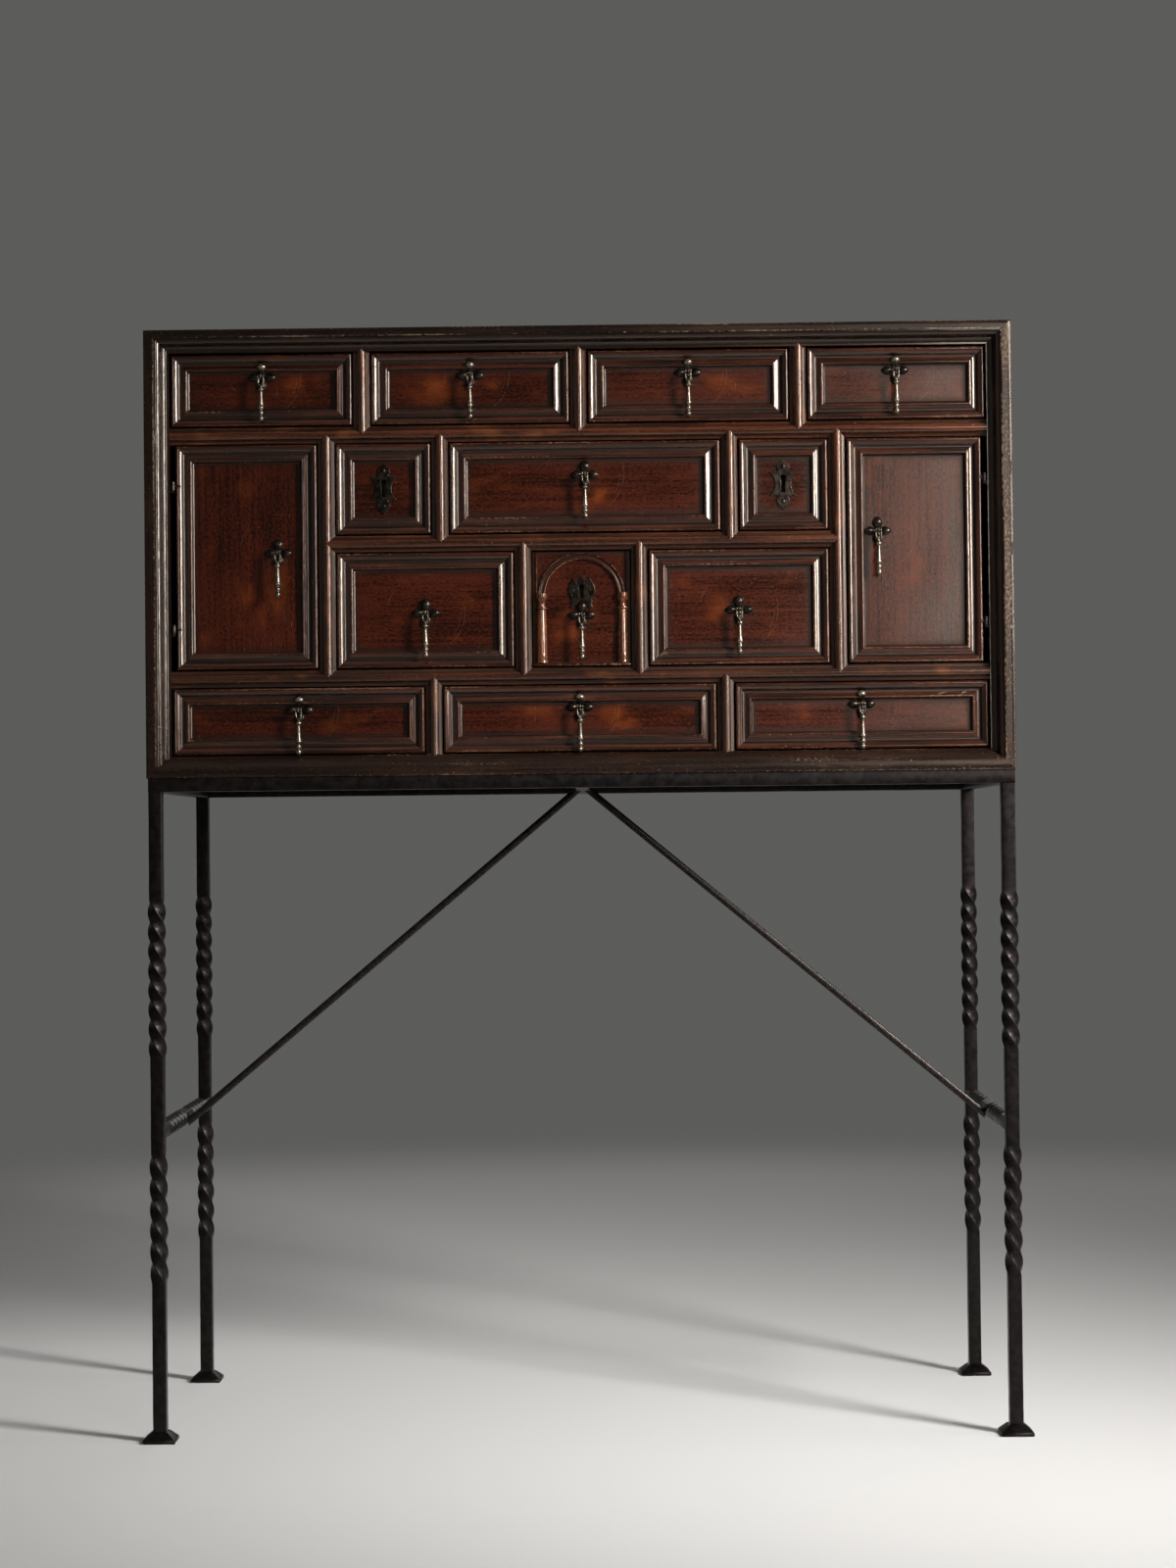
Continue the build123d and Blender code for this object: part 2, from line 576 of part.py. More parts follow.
def pull_lug(x, z):
    y_pin = PANEL_Y - STANDOFF
    half = LUG_H / 2
    nose = LUG_NOSE_H / 2
    outline = [(PANEL_Y, z - half), (PANEL_Y, z + half), (y_pin, z + half), (y_pin - LUG_NOSE, z + nose),
               (y_pin - LUG_NOSE, z - nose), (y_pin, z - half)]
    lug = side_prism(outline, x - LUG_W / 2, LUG_W)
    hole = Pos(x, y_pin, z) * Rot(0, 90, 0) * Cylinder(PULL_PIN_R + PULL_PIN_FIT, 2 * LUG_W)
    return lug - hole


def drop(x, z):
    """Fork and turned baluster, hanging from the pin that is riveted in the fork."""
    y_pin = PANEL_Y - STANDOFF
    inner = LUG_W / 2 + FORK_GAP
    outer = inner + PRONG_T
    half = PRONG_D / 2
    top, crotch = z + PRONG_TOP, z - PRONG_L
    fork = block(x - outer, x + outer, y_pin - half, y_pin + half, crotch - CROTCH_H, top)
    fork -= block(x - inner, x + inner, y_pin - PRONG_D, y_pin + PRONG_D, crotch, top + 1)
    pin = Pos(x, y_pin, z) * Rot(0, 90, 0) * Cylinder(PULL_PIN_R, 2 * outer)
    start = crotch - CROTCH_H
    outline = [(0, start), *[(radius, start - down) for down, radius in DROP_STEPS]]
    outline.append((0, start - DROP_STEPS[-1][0]))
    profile = Plane((x, y_pin, 0), x_dir=RIGHT, z_dir=FORWARD) * Polygon(*outline, align=None)
    return fork + pin + revolve(profile, Axis((x, y_pin, 0), UP))


def keyhole_shape(x, z, height):
    """A round eye above a slot, as a flat outline in front of the panel."""
    plane = Plane((x, PANEL_Y, z), x_dir=RIGHT, z_dir=FORWARD)
    eye_z = height / 2 - KEYHOLE_R
    slot_h = height / 2 + eye_z
    slot = Pos(0, eye_z - slot_h / 2) * Rectangle(KEYHOLE_SLOT, slot_h)
    return plane * (Pos(0, eye_z) * Circle(KEYHOLE_R) + slot)


def keyhole_cut(x, z, height):
    outline = keyhole_shape(x, z, height)
    return extrude(outline, FRAME_H, dir=FORWARD) + extrude(outline, FRONT_T + 1, dir=BACKWARD)


def escutcheon(x, z, half, key_h):
    """A flat plate with a mirrored outline, cut for the key."""
    outline = [*half, *[(-px, pz) for px, pz in reversed(half[1:-1])]]
    plane = Plane((x, PANEL_Y, z), x_dir=RIGHT, z_dir=FORWARD)
    plate = extrude(plane * Polygon(*outline, align=None), SCUTCHEON_T, dir=FORWARD)
    return plate - keyhole_cut(x, z, key_h)


def nail_head(x, z, radius, height):
    """A domed head resting on an escutcheon."""
    ball_r = (radius ** 2 + height ** 2) / (2 * height)
    face = PANEL_Y - SCUTCHEON_T
    ball = Pos(x, face + ball_r - height, z) * Sphere(ball_r)
    return ball & block(x - ball_r, x + ball_r, face - ball_r, face, z - ball_r, z + ball_r)


def bolt_solid(x, top):
    half_w, half_t = BOLT_W / 2, BOLT_T / 2
    return block(x - half_w, x + half_w, BOLT_Y - half_t, BOLT_Y + half_t, top - BOLT_L, top)


def lock_case(x, key_z, top):
    """The case screwed inside the drawer front, open above for the bolt."""
    back = PANEL_Y + FRONT_T
    half = LOCK_W / 2
    case = block(x - half, x + half, back, back + LOCK_D, key_z - LOCK_BELOW_KEY, top)
    half_w, half_t = BOLT_W / 2 + BOLT_FIT, BOLT_T / 2 + BOLT_FIT
    slot = block(x - half_w, x + half_w, BOLT_Y - half_t, BOLT_Y + half_t, top - BOLT_L - BOLT_FIT, top + 1)
    return case - slot


def mortise(x, shelf_z):
    """Pocket under the shelf that the bolt rises into."""
    half_w, half_t = BOLT_W / 2 + MORTISE_FIT, BOLT_T / 2 + MORTISE_FIT
    return block(x - half_w, x + half_w, BOLT_Y - half_t, BOLT_Y + half_t, shelf_z, shelf_z + MORTISE_DEPTH)


# ---- stand ------------------------------------------------------------------------------
def twisted(start, run, length, quarters, across):
    """Square bar twisted by whole quarter turns, left-handed."""
    section = Plane(start, x_dir=across, z_dir=run) * Rectangle(BAR, BAR)
    travel = Vector(*run) * length
    return Solid.extrude_linear_with_rotation(section.face(), start, travel, -90 * quarters)


def plain(start, run, length, across):
    return bar_along(Rectangle(BAR, BAR), start, across, run, length)


def leg(x, y):
    """Foot, plain bar, lower twist, plain bar, upper twist and plain bar to the rail."""
    foot = Pos(x, y, 0) * extrude(Rectangle(FOOT_W, FOOT_W), FOOT_RIM)
    slope = loft([Pos(x, y, FOOT_RIM) * Rectangle(FOOT_W, FOOT_W),
                  Pos(x, y, FOOT_H) * Rectangle(FOOT_TOP_W, FOOT_TOP_W)])
    lower_end = LOWER_TWIST_Z + LOWER_TWIST_L
    upper_end = UPPER_TWIST_Z + UPPER_TWIST_L
    bars = [plain((x, y, FOOT_H), UP, LOWER_TWIST_Z - FOOT_H, RIGHT),
            twisted((x, y, LOWER_TWIST_Z), UP, LOWER_TWIST_L, LOWER_QUARTERS, RIGHT),
            plain((x, y, lower_end), UP, UPPER_TWIST_Z - lower_end, RIGHT),
            twisted((x, y, UPPER_TWIST_Z), UP, UPPER_TWIST_L, UPPER_QUARTERS, RIGHT),
            plain((x, y, upper_end), UP, RAIL_Z - upper_end, RIGHT)]
    whole = foot + slope
    for bar in bars:
        whole += bar
    return whole


def rails():
    """Front and back rails, two side rails between them and the centre cross bar."""
    half = BAR / 2
    low, high = RAIL_Z, STAND_H
    x_out, y_in = LEG_X + half, LEG_Y - half
    long_rails = [block(-x_out, x_out, y - half, y + half, low, high) for y in (-LEG_Y, LEG_Y)]
    short_rails = [block(x - half, x + half, -y_in, y_in, low, high) for x in (-LEG_X, 0, LEG_X)]
    return long_rails + short_rails


def stretcher(x):
    """Front-to-back bar between two legs, twisted either side of a plain seat."""
    half_span = LEG_Y - BAR / 2
    run_l = half_span - STRETCHER_PLAIN - STRETCHER_SEAT
    starts = (-half_span, -half_span + STRETCHER_PLAIN, -STRETCHER_SEAT, STRETCHER_SEAT,
              half_span - STRETCHER_PLAIN)
    lengths = (STRETCHER_PLAIN, run_l, 2 * STRETCHER_SEAT, run_l, STRETCHER_PLAIN)
    whole = None
    for place, (y, length) in enumerate(zip(starts, lengths)):
        start = (x, y, STRETCHER_Z)
        if place % 2:
            piece = twisted(start, BACKWARD, length, STRETCHER_QUARTERS, RIGHT)
        else:
            piece = plain(start, BACKWARD, length, RIGHT)
        whole = piece if whole is None else whole + piece
    return whole


def brace(side):
    """Straight bar from the cross bar down to the middle of a side stretcher."""
    foot_x = LEG_X - BAR / 2
    rise = RAIL_Z - STRETCHER_Z
    run = foot_x - BRACE_TOP_X
    slope_l = (rise ** 2 + run ** 2) ** 0.5
    cut_top = BRACE_T * slope_l / rise
    cut_foot = BRACE_T * slope_l / run
    outline = [(side * BRACE_TOP_X, RAIL_Z), (side * foot_x, STRETCHER_Z),
               (side * foot_x, STRETCHER_Z - cut_foot), (side * (BRACE_TOP_X - cut_top), RAIL_Z)]
    return front_prism(outline, BRACE_W / 2, BRACE_W)


# ---- where everything goes --------------------------------------------------------------
def openings():
    """Clear opening of every drawer and door, between the facings."""
    half = FACING_W / 2
    rows = {
        "upper": (ROW_1_X, SHELF_1_Z + SHELF_T, CEILING_Z),
        "lower": (ROW_4_X, FLOOR_Z, SHELF_3_Z),
    }
    names = {"upper": ("upper_1", "upper_2", "upper_3", "upper_4"),
             "lower": ("lower_1", "lower_2", "lower_3")}
    spaces = {}
    for row, (middles, low, high) in rows.items():
        edges = [-INNER_X, *[x + side * half for x in middles for side in (-1, 1)], INNER_X]
        for place, name in enumerate(names[row]):
            spaces[name] = (edges[2 * place], edges[2 * place + 1], low, high)
    left, right = CUPBOARD_X
    low_2, low_3 = SHELF_2_Z + SHELF_T, SHELF_3_Z + SHELF_T
    rows = (("second", ROW_2_X, low_2, SHELF_1_Z), ("third", ROW_3_X, low_3, SHELF_2_Z))
    for name, middles, low, high in rows:
        edges = [x + side * half for x in (left, *middles, right) for side in (-1, 1)][1:-1]
        for place in range(3):
            spaces[f"{name}_{place + 1}"] = (edges[2 * place], edges[2 * place + 1], low, high)
    spaces["door_left"] = (-INNER_X, left - half, low_3, SHELF_1_Z)
    spaces["door_right"] = (right + half, INNER_X, low_3, SHELF_1_Z)
    return spaces


def middle_of(opening, up):
    x0, x1, z0, z1 = opening
    return (x0 + x1) / 2, (z0 + z1) / 2 + up


PULLS_UP = {
    "upper_1": PULL_UP_ROW_1, "upper_2": PULL_UP_ROW_1, "upper_3": PULL_UP_ROW_1, "upper_4": PULL_UP_ROW_1,
    "second_2": PULL_UP_ROW_2, "third_1": PULL_UP_ROW_3, "third_2": PULL_UP_ARCH, "third_3": PULL_UP_ROW_3,
    "lower_1": PULL_UP_ROW_4, "lower_2": PULL_UP_ROW_4, "lower_3": PULL_UP_ROW_4,
}
LOCKED = {
    "second_1": (KEY_UP_SMALL, SMALL_SCUTCHEON, SMALL_NAILS, SMALL_NAIL, KEYHOLE_H, SHELF_1_Z),
    "second_3": (KEY_UP_SMALL, SMALL_SCUTCHEON, SMALL_NAILS, SMALL_NAIL, KEYHOLE_H, SHELF_1_Z),
    "third_2": (KEY_UP_ARCH, ARCH_SCUTCHEON, ARCH_NAILS, ARCH_NAIL, ARCH_KEYHOLE_H, SHELF_2_Z),
}


def build_drawer(name, opening):
    """Write one drawer's wood, fittings, drop and bolt; return its mortise if it has a lock."""
    fittings = []
    keyhole = seat = pocket = None
    if name in PULLS_UP:
        x, z = middle_of(opening, PULLS_UP[name])
        seat = petal_seat(x, z)
        fittings.append(pull_plate(x, z))
        save(f"drop_{name}", drop(x, z))
    if name in LOCKED:
        up, half, nails, nail_size, key_h, shelf_z = LOCKED[name]
        x, z = middle_of(opening, up)
        top = front_of(opening)[3]
        keyhole = keyhole_cut(x, z, key_h)
        fittings += [escutcheon(x, z, half, key_h), lock_case(x, z, top)]
        fittings += [nail_head(x + nail_x, z + nail_z, *nail_size) for nail_x, nail_z in nails]
        save(f"bolt_{name}", bolt_solid(x, top))
        pocket = mortise(x, shelf_z)
    save(f"drawer_{name}", *drawer_wood(opening, name == "third_2", keyhole, seat))
    save(f"fittings_{name}", *fittings)
    return pocket


def build_door(name, opening, side, index):
    """Write one door, its fittings and its drop; return the pintles it hangs on."""
    edges = door_edges(opening, side)
    x0, x1, z0, z1 = edges
    axis_x = (x0 if side < 0 else x1) + side * HINGE_GAP / 2
    eyes = [hinge_eye(axis_x, z, side) for z in hinge_heights(z0, z1)]
    free_edge = x1 if side < 0 else x0
    x = free_edge + side * PULL_IN_DOORS[index]
    z = (z0 + z1) / 2 + PULL_UP_DOORS[index]
    save(name, *door_wood(edges, [*eyes, petal_seat(x, z)]))
    save(f"fittings_{name}", pull_plate(x, z), *eyes)
    save(f"drop_{name}", drop(x, z))
    return [pintle(axis_x, height, side) for height in hinge_heights(z0, z1)]


def main():
    os.makedirs("parts", exist_ok=True)
    spaces = openings()
    pintles = build_door("door_left", spaces["door_left"], -1, 0)
    pintles += build_door("door_right", spaces["door_right"], 1, 1)
    pockets = []
    for name, opening in spaces.items():
        if not name.startswith("door"):
            pocket = build_drawer(name, opening)
            pockets += [pocket] if pocket else []

    shelves, partitions = carcase(pockets)
    beads, prisms = facings()
    boards = case_boards()
    for name, board in boards.items():
        for piece in (*partitions, *shelves, *prisms, *pintles):
            board -= piece
        boards[name] = board
    rims = case_mouldings()
    for prism in prisms:
        rims = [rim - prism for rim in rims]

    for name, board in boards.items():
        save(name, board)
    save("case_back", back_board())
    save("case_mouldings", *rims)
    save("partitions", *partitions)
    save("shelves", *shelves)
    save("facings", *beads)
    save("hinge_pintles", *pintles)
    save("stand_rails", *rails())
    save("stand_legs", *[leg(x, y) for x in (-LEG_X, LEG_X) for y in (-LEG_Y, LEG_Y)])
    save("stand_stretchers", stretcher(-LEG_X), stretcher(LEG_X))
    save("stand_braces", brace(-1), brace(1))


main()
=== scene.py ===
"""Vargueno: a walnut writing chest of small drawers on a twisted wrought-iron stand."""

import json
import math
import random

import bmesh
import bpy
from mathutils import Matrix, Vector, noise

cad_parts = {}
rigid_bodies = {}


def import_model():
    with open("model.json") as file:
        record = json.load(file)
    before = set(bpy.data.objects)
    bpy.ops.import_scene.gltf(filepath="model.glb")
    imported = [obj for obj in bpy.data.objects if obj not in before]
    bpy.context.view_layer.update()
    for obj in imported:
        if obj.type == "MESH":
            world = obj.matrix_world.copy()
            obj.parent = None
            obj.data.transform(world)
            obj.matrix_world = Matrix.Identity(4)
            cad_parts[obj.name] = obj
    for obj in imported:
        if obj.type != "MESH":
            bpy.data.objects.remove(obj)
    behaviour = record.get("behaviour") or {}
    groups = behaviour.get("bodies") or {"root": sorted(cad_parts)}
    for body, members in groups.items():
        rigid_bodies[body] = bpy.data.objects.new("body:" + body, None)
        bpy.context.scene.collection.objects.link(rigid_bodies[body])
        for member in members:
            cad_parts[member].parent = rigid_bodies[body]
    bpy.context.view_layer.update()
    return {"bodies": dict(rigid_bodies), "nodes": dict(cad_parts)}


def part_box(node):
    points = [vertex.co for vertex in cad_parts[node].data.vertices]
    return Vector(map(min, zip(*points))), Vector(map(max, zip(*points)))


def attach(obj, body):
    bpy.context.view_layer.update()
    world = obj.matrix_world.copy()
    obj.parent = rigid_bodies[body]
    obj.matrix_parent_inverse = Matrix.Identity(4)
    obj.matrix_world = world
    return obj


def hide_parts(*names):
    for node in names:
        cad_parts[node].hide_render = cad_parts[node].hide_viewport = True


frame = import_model()

# ---- Studio -----------------------------------------------------------------------------
# A pale matt floor that fades into a plain grey backdrop. A tall window and a narrower key
# lamp stand on the right, weak broad lamps on the left, overhead and behind.
CAMERA_AT = (0.0363, -3.4686, 0.6492)
CAMERA_YAW, CAMERA_PITCH, CAMERA_ROLL = 0.00872, 0.02127, 0.01073
CAMERA_LENS = 68.2
FLOOR_R, FLOOR_FADE, FLOOR_SEAM, FLOOR_SIDES = 3.6, 1.3, 0.1, 96
FLOOR_COLOUR = (0.67, 0.68, 0.685, 1)
BACKDROP_COLOUR = (0.108, 0.108, 0.105, 1)
AMBIENT_COLOUR = (0.02, 0.02, 0.021, 1)
LAMP_COLOUR = (1.0, 0.96, 0.92)
LAMPS = (           # name, place, aim, width, height, watts and spread in degrees
    ("key", (1.55, -1.3, 1.42), (0.4, -0.3, 0.78), 0.34, 1.0, 11.5, 70),
    ("ground", (1.75, -1.5, 1.7), (0.2, -0.6, 0.0), 0.6, 0.6, 7.6, 75),
    ("window", (2.7, -0.35, 1.2), (0.0, -0.2, 0.95), 1.1, 1.6, 22, 180),
    ("sheen", (1.04, -3.6, 1.4), (0.3, -0.15, 0.95), 0.5, 1.1, 17, 180),
    ("fill", (-2.6, -2.4, 1.6), (0.0, -0.15, 0.8), 2.2, 2.2, 1.2, 180),
    ("overhead", (0.2, -0.4, 3.2), (0.0, 0.0, 0.9), 2.4, 2.4, 4, 180),
    ("behind", (0.6, 3.0, 2.4), (0.0, 0.0, 0.8), 2.0, 2.0, 16, 180),
)


class Wire:
    """A value in a node tree that takes part in arithmetic."""

    def __init__(self, tree, socket):
        self.tree = tree
        self.socket = socket

    def maths(self, operation, *values):
        node = self.tree.nodes.new("ShaderNodeMath")
        node.operation = operation
        for place, value in enumerate(values):
            if isinstance(value, Wire):
                self.tree.links.new(value.socket, node.inputs[place])
            else:
                node.inputs[place].default_value = value
        return Wire(self.tree, node.outputs[0])

    def __add__(self, other):
        return self.maths("ADD", self, other)

    def __sub__(self, other):
        return self.maths("SUBTRACT", self, other)

    def __rsub__(self, other):
        return self.maths("SUBTRACT", other, self)

    def __mul__(self, other):
        return self.maths("MULTIPLY", self, other)

    def __truediv__(self, other):
        return self.maths("DIVIDE", self, other)

    __radd__ = __add__
    __rmul__ = __mul__

    def size(self):
        return self.maths("ABSOLUTE", self)


class Tree:
    """A node tree, with short ways to add the nodes that it uses most."""

    def __init__(self, tree):
        self.tree = tree

    def node(self, kind, values=None, output=0, **settings):
        """Add a node: its settings are set first, then the values or wires of its sockets."""
        node = self.tree.nodes.new(kind)
        for name, setting in settings.items():
            setattr(node, name, setting)
        for socket, value in (values or {}).items():
            if isinstance(value, Wire):
                self.tree.links.new(value.socket, node.inputs[socket])
            else:
                node.inputs[socket].default_value = value
        return Wire(self.tree, node.outputs[output])

    def vector(self, operation, *values, output=0):
        sockets = dict(enumerate(values))
        return self.node("ShaderNodeVectorMath", sockets, output, operation=operation)

    def length(self, vector):
        return self.vector("LENGTH", vector, output=1)

    def blend(self, share, colour, other):
        return self.node("ShaderNodeMix", {0: share, 6: colour, 7: other}, 2, data_type="RGBA")


class Finish(Tree):
    """A material with its shader; constants are set on the shader's own sockets."""

    def __init__(self, name, constants):
        self.material = bpy.data.materials.new(name)
        self.material.use_nodes = True
        super().__init__(self.material.node_tree)
        self.shader = self.tree.nodes["Principled BSDF"]
        for socket, value in constants.items():
            self.shader.inputs[socket].default_value = value

    def feed(self, socket, wire):
        self.tree.links.new(wire.socket, self.shader.inputs[socket])

    def place(self):
        """Where a point of the piece lies, in metres."""
        return self.node("ShaderNodeTexCoord", output=3)

    def painted(self, layer):
        return self.node("ShaderNodeAttribute", output=2, attribute_name=layer)

    def cloud(self, place, stretch=None, scale=1.0, detail=3.0, roughness=0.55):
        """Soft noise, finer along the axes that stretch makes longer."""
        if stretch:
            place = self.vector("MULTIPLY", place, stretch)
        sockets = {"Vector": place, "Scale": scale, "Detail": detail, "Roughness": roughness}
        return self.node("ShaderNodeTexNoise", sockets)

    def between(self, value, low, high):
        """0 below low, 1 above high, and a smooth step from one to the other."""
        sockets = {"Value": value, "From Min": low, "From Max": high}
        return self.node("ShaderNodeMapRange", sockets, interpolation_type="SMOOTHSTEP")

    def raised(self, height, distance):
        self.feed("Normal", self.node("ShaderNodeBump", {"Height": height, "Distance": distance}))


def shown(data, name):
    """A mesh, curve, lamp or camera as an object in the scene."""
    thing = bpy.data.objects.new(name, data)
    bpy.context.scene.collection.objects.link(thing)
    return thing


def studio_camera():
    camera = shown(bpy.data.cameras.new("camera"), "camera")
    camera.data.lens = CAMERA_LENS
    turn = (Matrix.Rotation(-CAMERA_ROLL, 3, "Y") @ Matrix.Rotation(-CAMERA_PITCH, 3, "X")
            @ Matrix.Rotation(-CAMERA_YAW, 3, "Z"))
    facing = turn.transposed() @ Matrix.Rotation(math.radians(90), 3, "X")
    camera.matrix_world = Matrix.Translation(CAMERA_AT) @ facing.to_4x4()
    bpy.context.scene.camera = camera


def studio_lamp(name, at, towards, width, height, watts, spread):
    lamp = bpy.data.lights.new(name, "AREA")
    lamp.shape, lamp.size, lamp.size_y = "RECTANGLE", width, height
    lamp.energy, lamp.color, lamp.spread = watts, LAMP_COLOUR, math.radians(spread)
    holder = shown(lamp, name)
    holder.location = at
    holder.rotation_euler = (Vector(towards) - Vector(at)).to_track_quat("-Z", "Y").to_euler()


def studio_world():
    world = bpy.data.worlds.new("studio")
    world.use_nodes = True
    bpy.context.scene.world = world
    sky = Tree(world.node_tree)
    camera, glossy, transmission = (sky.node("ShaderNodeLightPath", output=f"Is {ray} Ray")
                                    for ray in ("Camera", "Glossy", "Transmission"))
    colour = sky.blend(camera + glossy + transmission, AMBIENT_COLOUR, BACKDROP_COLOUR)
    sky.tree.links.new(colour.socket, sky.tree.nodes["Background"].inputs["Color"])


def studio_floor():
    mesh = bpy.data.meshes.new("floor")
    disc = bmesh.new()
    bmesh.ops.create_circle(disc, cap_ends=True, segments=FLOOR_SIDES, radius=FLOOR_R)
    disc.to_mesh(mesh)
    disc.free()
    matt = {"Base Color": FLOOR_COLOUR, "Roughness": 0.8, "Specular IOR Level": 0.0}
    paint = Finish("pale_floor", matt)
    fade = paint.between(paint.length(paint.place()), FLOOR_R - FLOOR_FADE, FLOOR_R - FLOOR_SEAM)
    paint.feed("Alpha", 1 - fade)
    mesh.materials.append(paint.material)
    shown(mesh, "floor")


studio_camera()
studio_world()
studio_floor()
for lamp in LAMPS:
    studio_lamp(*lamp)
bpy.context.scene.view_settings.view_transform = "Standard"

# ---- Case -------------------------------------------------------------------------------
# Four walnut boards mitred at the corners, waxed nearly black and rubbed pale along the
# front arrises; the right board's front lip is painted paler, wear and painted sheen together.
# Their edges are rebated in front for the mouldings and behind for the back.
MM = 0.001
RIGHT, LEFT = Vector((1, 0, 0)), Vector((-1, 0, 0))
FORWARD, BACKWARD = Vector((0, -1, 0)), Vector((0, 1, 0))
UP, DOWN = Vector((0, 0, 1)), Vector((0, 0, -1))
END_T, SIDE_T = 24 * MM, 26 * MM
RIM_W, RIM_D = 16 * MM, 18 * MM
BACK_T, BACK_REBATE = 14 * MM, 12 * MM
BEVEL_H, BEVEL_D = 12 * MM, 17 * MM
ARRIS = 1.2 * MM
BOARD_PITCH, FINE_PITCH = 9 * MM, 5 * MM
BOARD_WOBBLE, BOARD_CHIP = 0.35 * MM, 1.6 * MM
WOBBLE_GRAIN, CHIP_GRAIN, CHIP_FROM, CHIP_WEAR = 14, 75, 0.38, 0.5
# The first is how pale the right board's front lip is painted, wear and painted sheen together.
HANDLED_AND_SHEEN, WOOD_SHARP = 0.85, 35
GRAIN_RELIEF = 0.09 * MM
ARC_R, ARC_WIDTH = 43.5 * MM, 0.45 * MM
PAINTS = ("wear", "grime_and_shade", "rub")
CHEST = "case_and_stand"
rng = random.Random(1649)


def tint(red, green, blue):
    """A colour written as it looks on a screen, from 0 to 255, made linear."""
    linear = (((c / 255 + 0.055) / 1.055) ** 2.4 if c > 10 else c / 3295
              for c in (red, green, blue))
    return (*linear, 1.0)


# The first colour darkens the pores of the grain and, as painted shade, the grooves; the second
# darkens soiling, and painted shade along the inside of the mouldings and in the grooves.
SOOT_AND_SHADE, DIRT_AND_SHADE, WAX_TINT = tint(10, 7, 6), tint(17, 9, 6), (1.0, 0.9, 0.8, 1.0)
CASE_TONES = tint(17, 11, 8), tint(38, 23, 16), tint(64, 38, 24), tint(150, 128, 106)


def waxed_walnut(name, deep, body, warm, worn, gloss, polish=1.45, grain_lines=0.4, mottle=0.3,
                 coordinates="grain", arcs=False):
    """Waxed walnut whose grain runs along U of its map, in metres, with rubbed edges, soiling,
    and painted shade in the grooves and along the inside of the mouldings.

    polish is how strongly the wax mirrors, grain_lines how clear the fine lines of the grain
    are and mottle how far the warmer patches show. A front with a pull also has the broken
    arcs that its drop has scratched.
    """
    wood = Finish(name, {"IOR": polish, "Specular Tint": WAX_TINT})
    if coordinates == "grain":
        grain = wood.node("ShaderNodeUVMap", uv_map="grain")
        wear, grime_and_shade, rub = (wood.painted(paint) for paint in PAINTS)
    else:
        turn = (0, 0, math.radians(-90 if coordinates == "y" else 0))
        grain = wood.node("ShaderNodeMapping", {"Vector": wood.place(), "Rotation": turn})
        wear, grime_and_shade, rub = 0.0, 0.0, 0.0
    figure = wood.cloud(grain, (6, 17, 17))
    streaks = wood.cloud(grain, (7, 250, 250), detail=4, roughness=0.6)
    pores = wood.cloud(grain, (90, 1500, 1500), detail=1)
    flecks = wood.cloud(grain, (260, 420, 420), detail=2)
    patches = wood.cloud(grain, (11, 16, 16), scale=1.7, detail=2)
    scratches = wood.cloud(grain, (24, 70, 70), scale=1.3, detail=0)

    mix = streaks * grain_lines + (figure * 0.45 + flecks * 0.55) * (1 - grain_lines)
    colour = wood.blend(wood.between(mix, 0.40, 0.60), deep, body)
    glow = (wood.between(patches, 0.50, 0.76) * mottle
            + rub * 0.55 * wood.between(patches, 0.38, 0.56))
    colour = wood.blend(wood.between(glow, 0.0, 1.0), colour, warm)
    colour = wood.blend(wood.between(pores, 0.48, 0.36) * 0.4, colour, SOOT_AND_SHADE)
    # Negative wear marks grooves: they are painted dark, painted shade and soiling. The soiling
    # layer also carries painted shade along the inside of a front's moulding.
    groove_shade_and_dirt = wear * -1.0
    dirt_and_shade = grime_and_shade + wood.between(groove_shade_and_dirt, 0.0, 1.0)
    smear_and_shade = wood.between(dirt_and_shade + (figure - 0.5) * 0.8, 0.1, 0.95)
    colour = wood.blend(smear_and_shade * 0.65, colour, DIRT_AND_SHADE)
    colour = wood.blend(wood.between(groove_shade_and_dirt, 0.4, 1.0) * 0.85, colour, SOOT_AND_SHADE)
    worn_spots = wood.between(wear + (flecks - 0.5) * 1.3 + (figure - 0.5) * 1.6, 0.72, 1.3)
    nicks = wood.between(flecks, 0.715, 0.75)
    lines = wood.between((scratches - 0.5).size(), 0.0035, 0.0012)
    lines = lines * wood.between(figure, 0.53, 0.60)
    bare = wood.between(worn_spots * 0.6 + nicks * 0.5 + lines * 0.35, 0.0, 1.2)
    if arcs:
        bare = bare + pull_arcs(wood)
    wood.feed("Base Color", wood.blend(bare, colour, worn))
    dulled = (figure - 0.5) * 0.2 + (streaks - 0.5) * 0.12 + bare * 0.14 + dirt_and_shade * 0.2
    wood.feed("Roughness", gloss + dulled)
    relief = (streaks * 0.9 * grain_lines + flecks * 0.25 + pores * 0.3 - lines * 0.5
              - nicks * 0.6 + figure * 0.8)
    wood.raised(relief, GRAIN_RELIEF)
    return wood.material


def pull_arcs(wood):
    """Two broken rings round the middle of the map named pull."""
    place = wood.node("ShaderNodeUVMap", uv_map="pull")
    distance = wood.length(place)
    broken = wood.cloud(place, scale=38, detail=2)

    def ring(radius, low, high):
        line = wood.between((distance - radius).size(), ARC_WIDTH, ARC_WIDTH * 0.3)
        return line * wood.between(broken, low, high)

    return ring(ARC_R, 0.50, 0.58) * 0.2 + ring(ARC_R * 0.9, 0.60, 0.66) * 0.15


def joiner():
    """An empty mesh under construction, with the layers that the wood finishes read."""
    work = bmesh.new()
    for paint in PAINTS:
        work.verts.layers.float.new(paint)
    for flat_map in ("grain", "pull"):
        work.loops.layers.uv.new(flat_map)
    return work


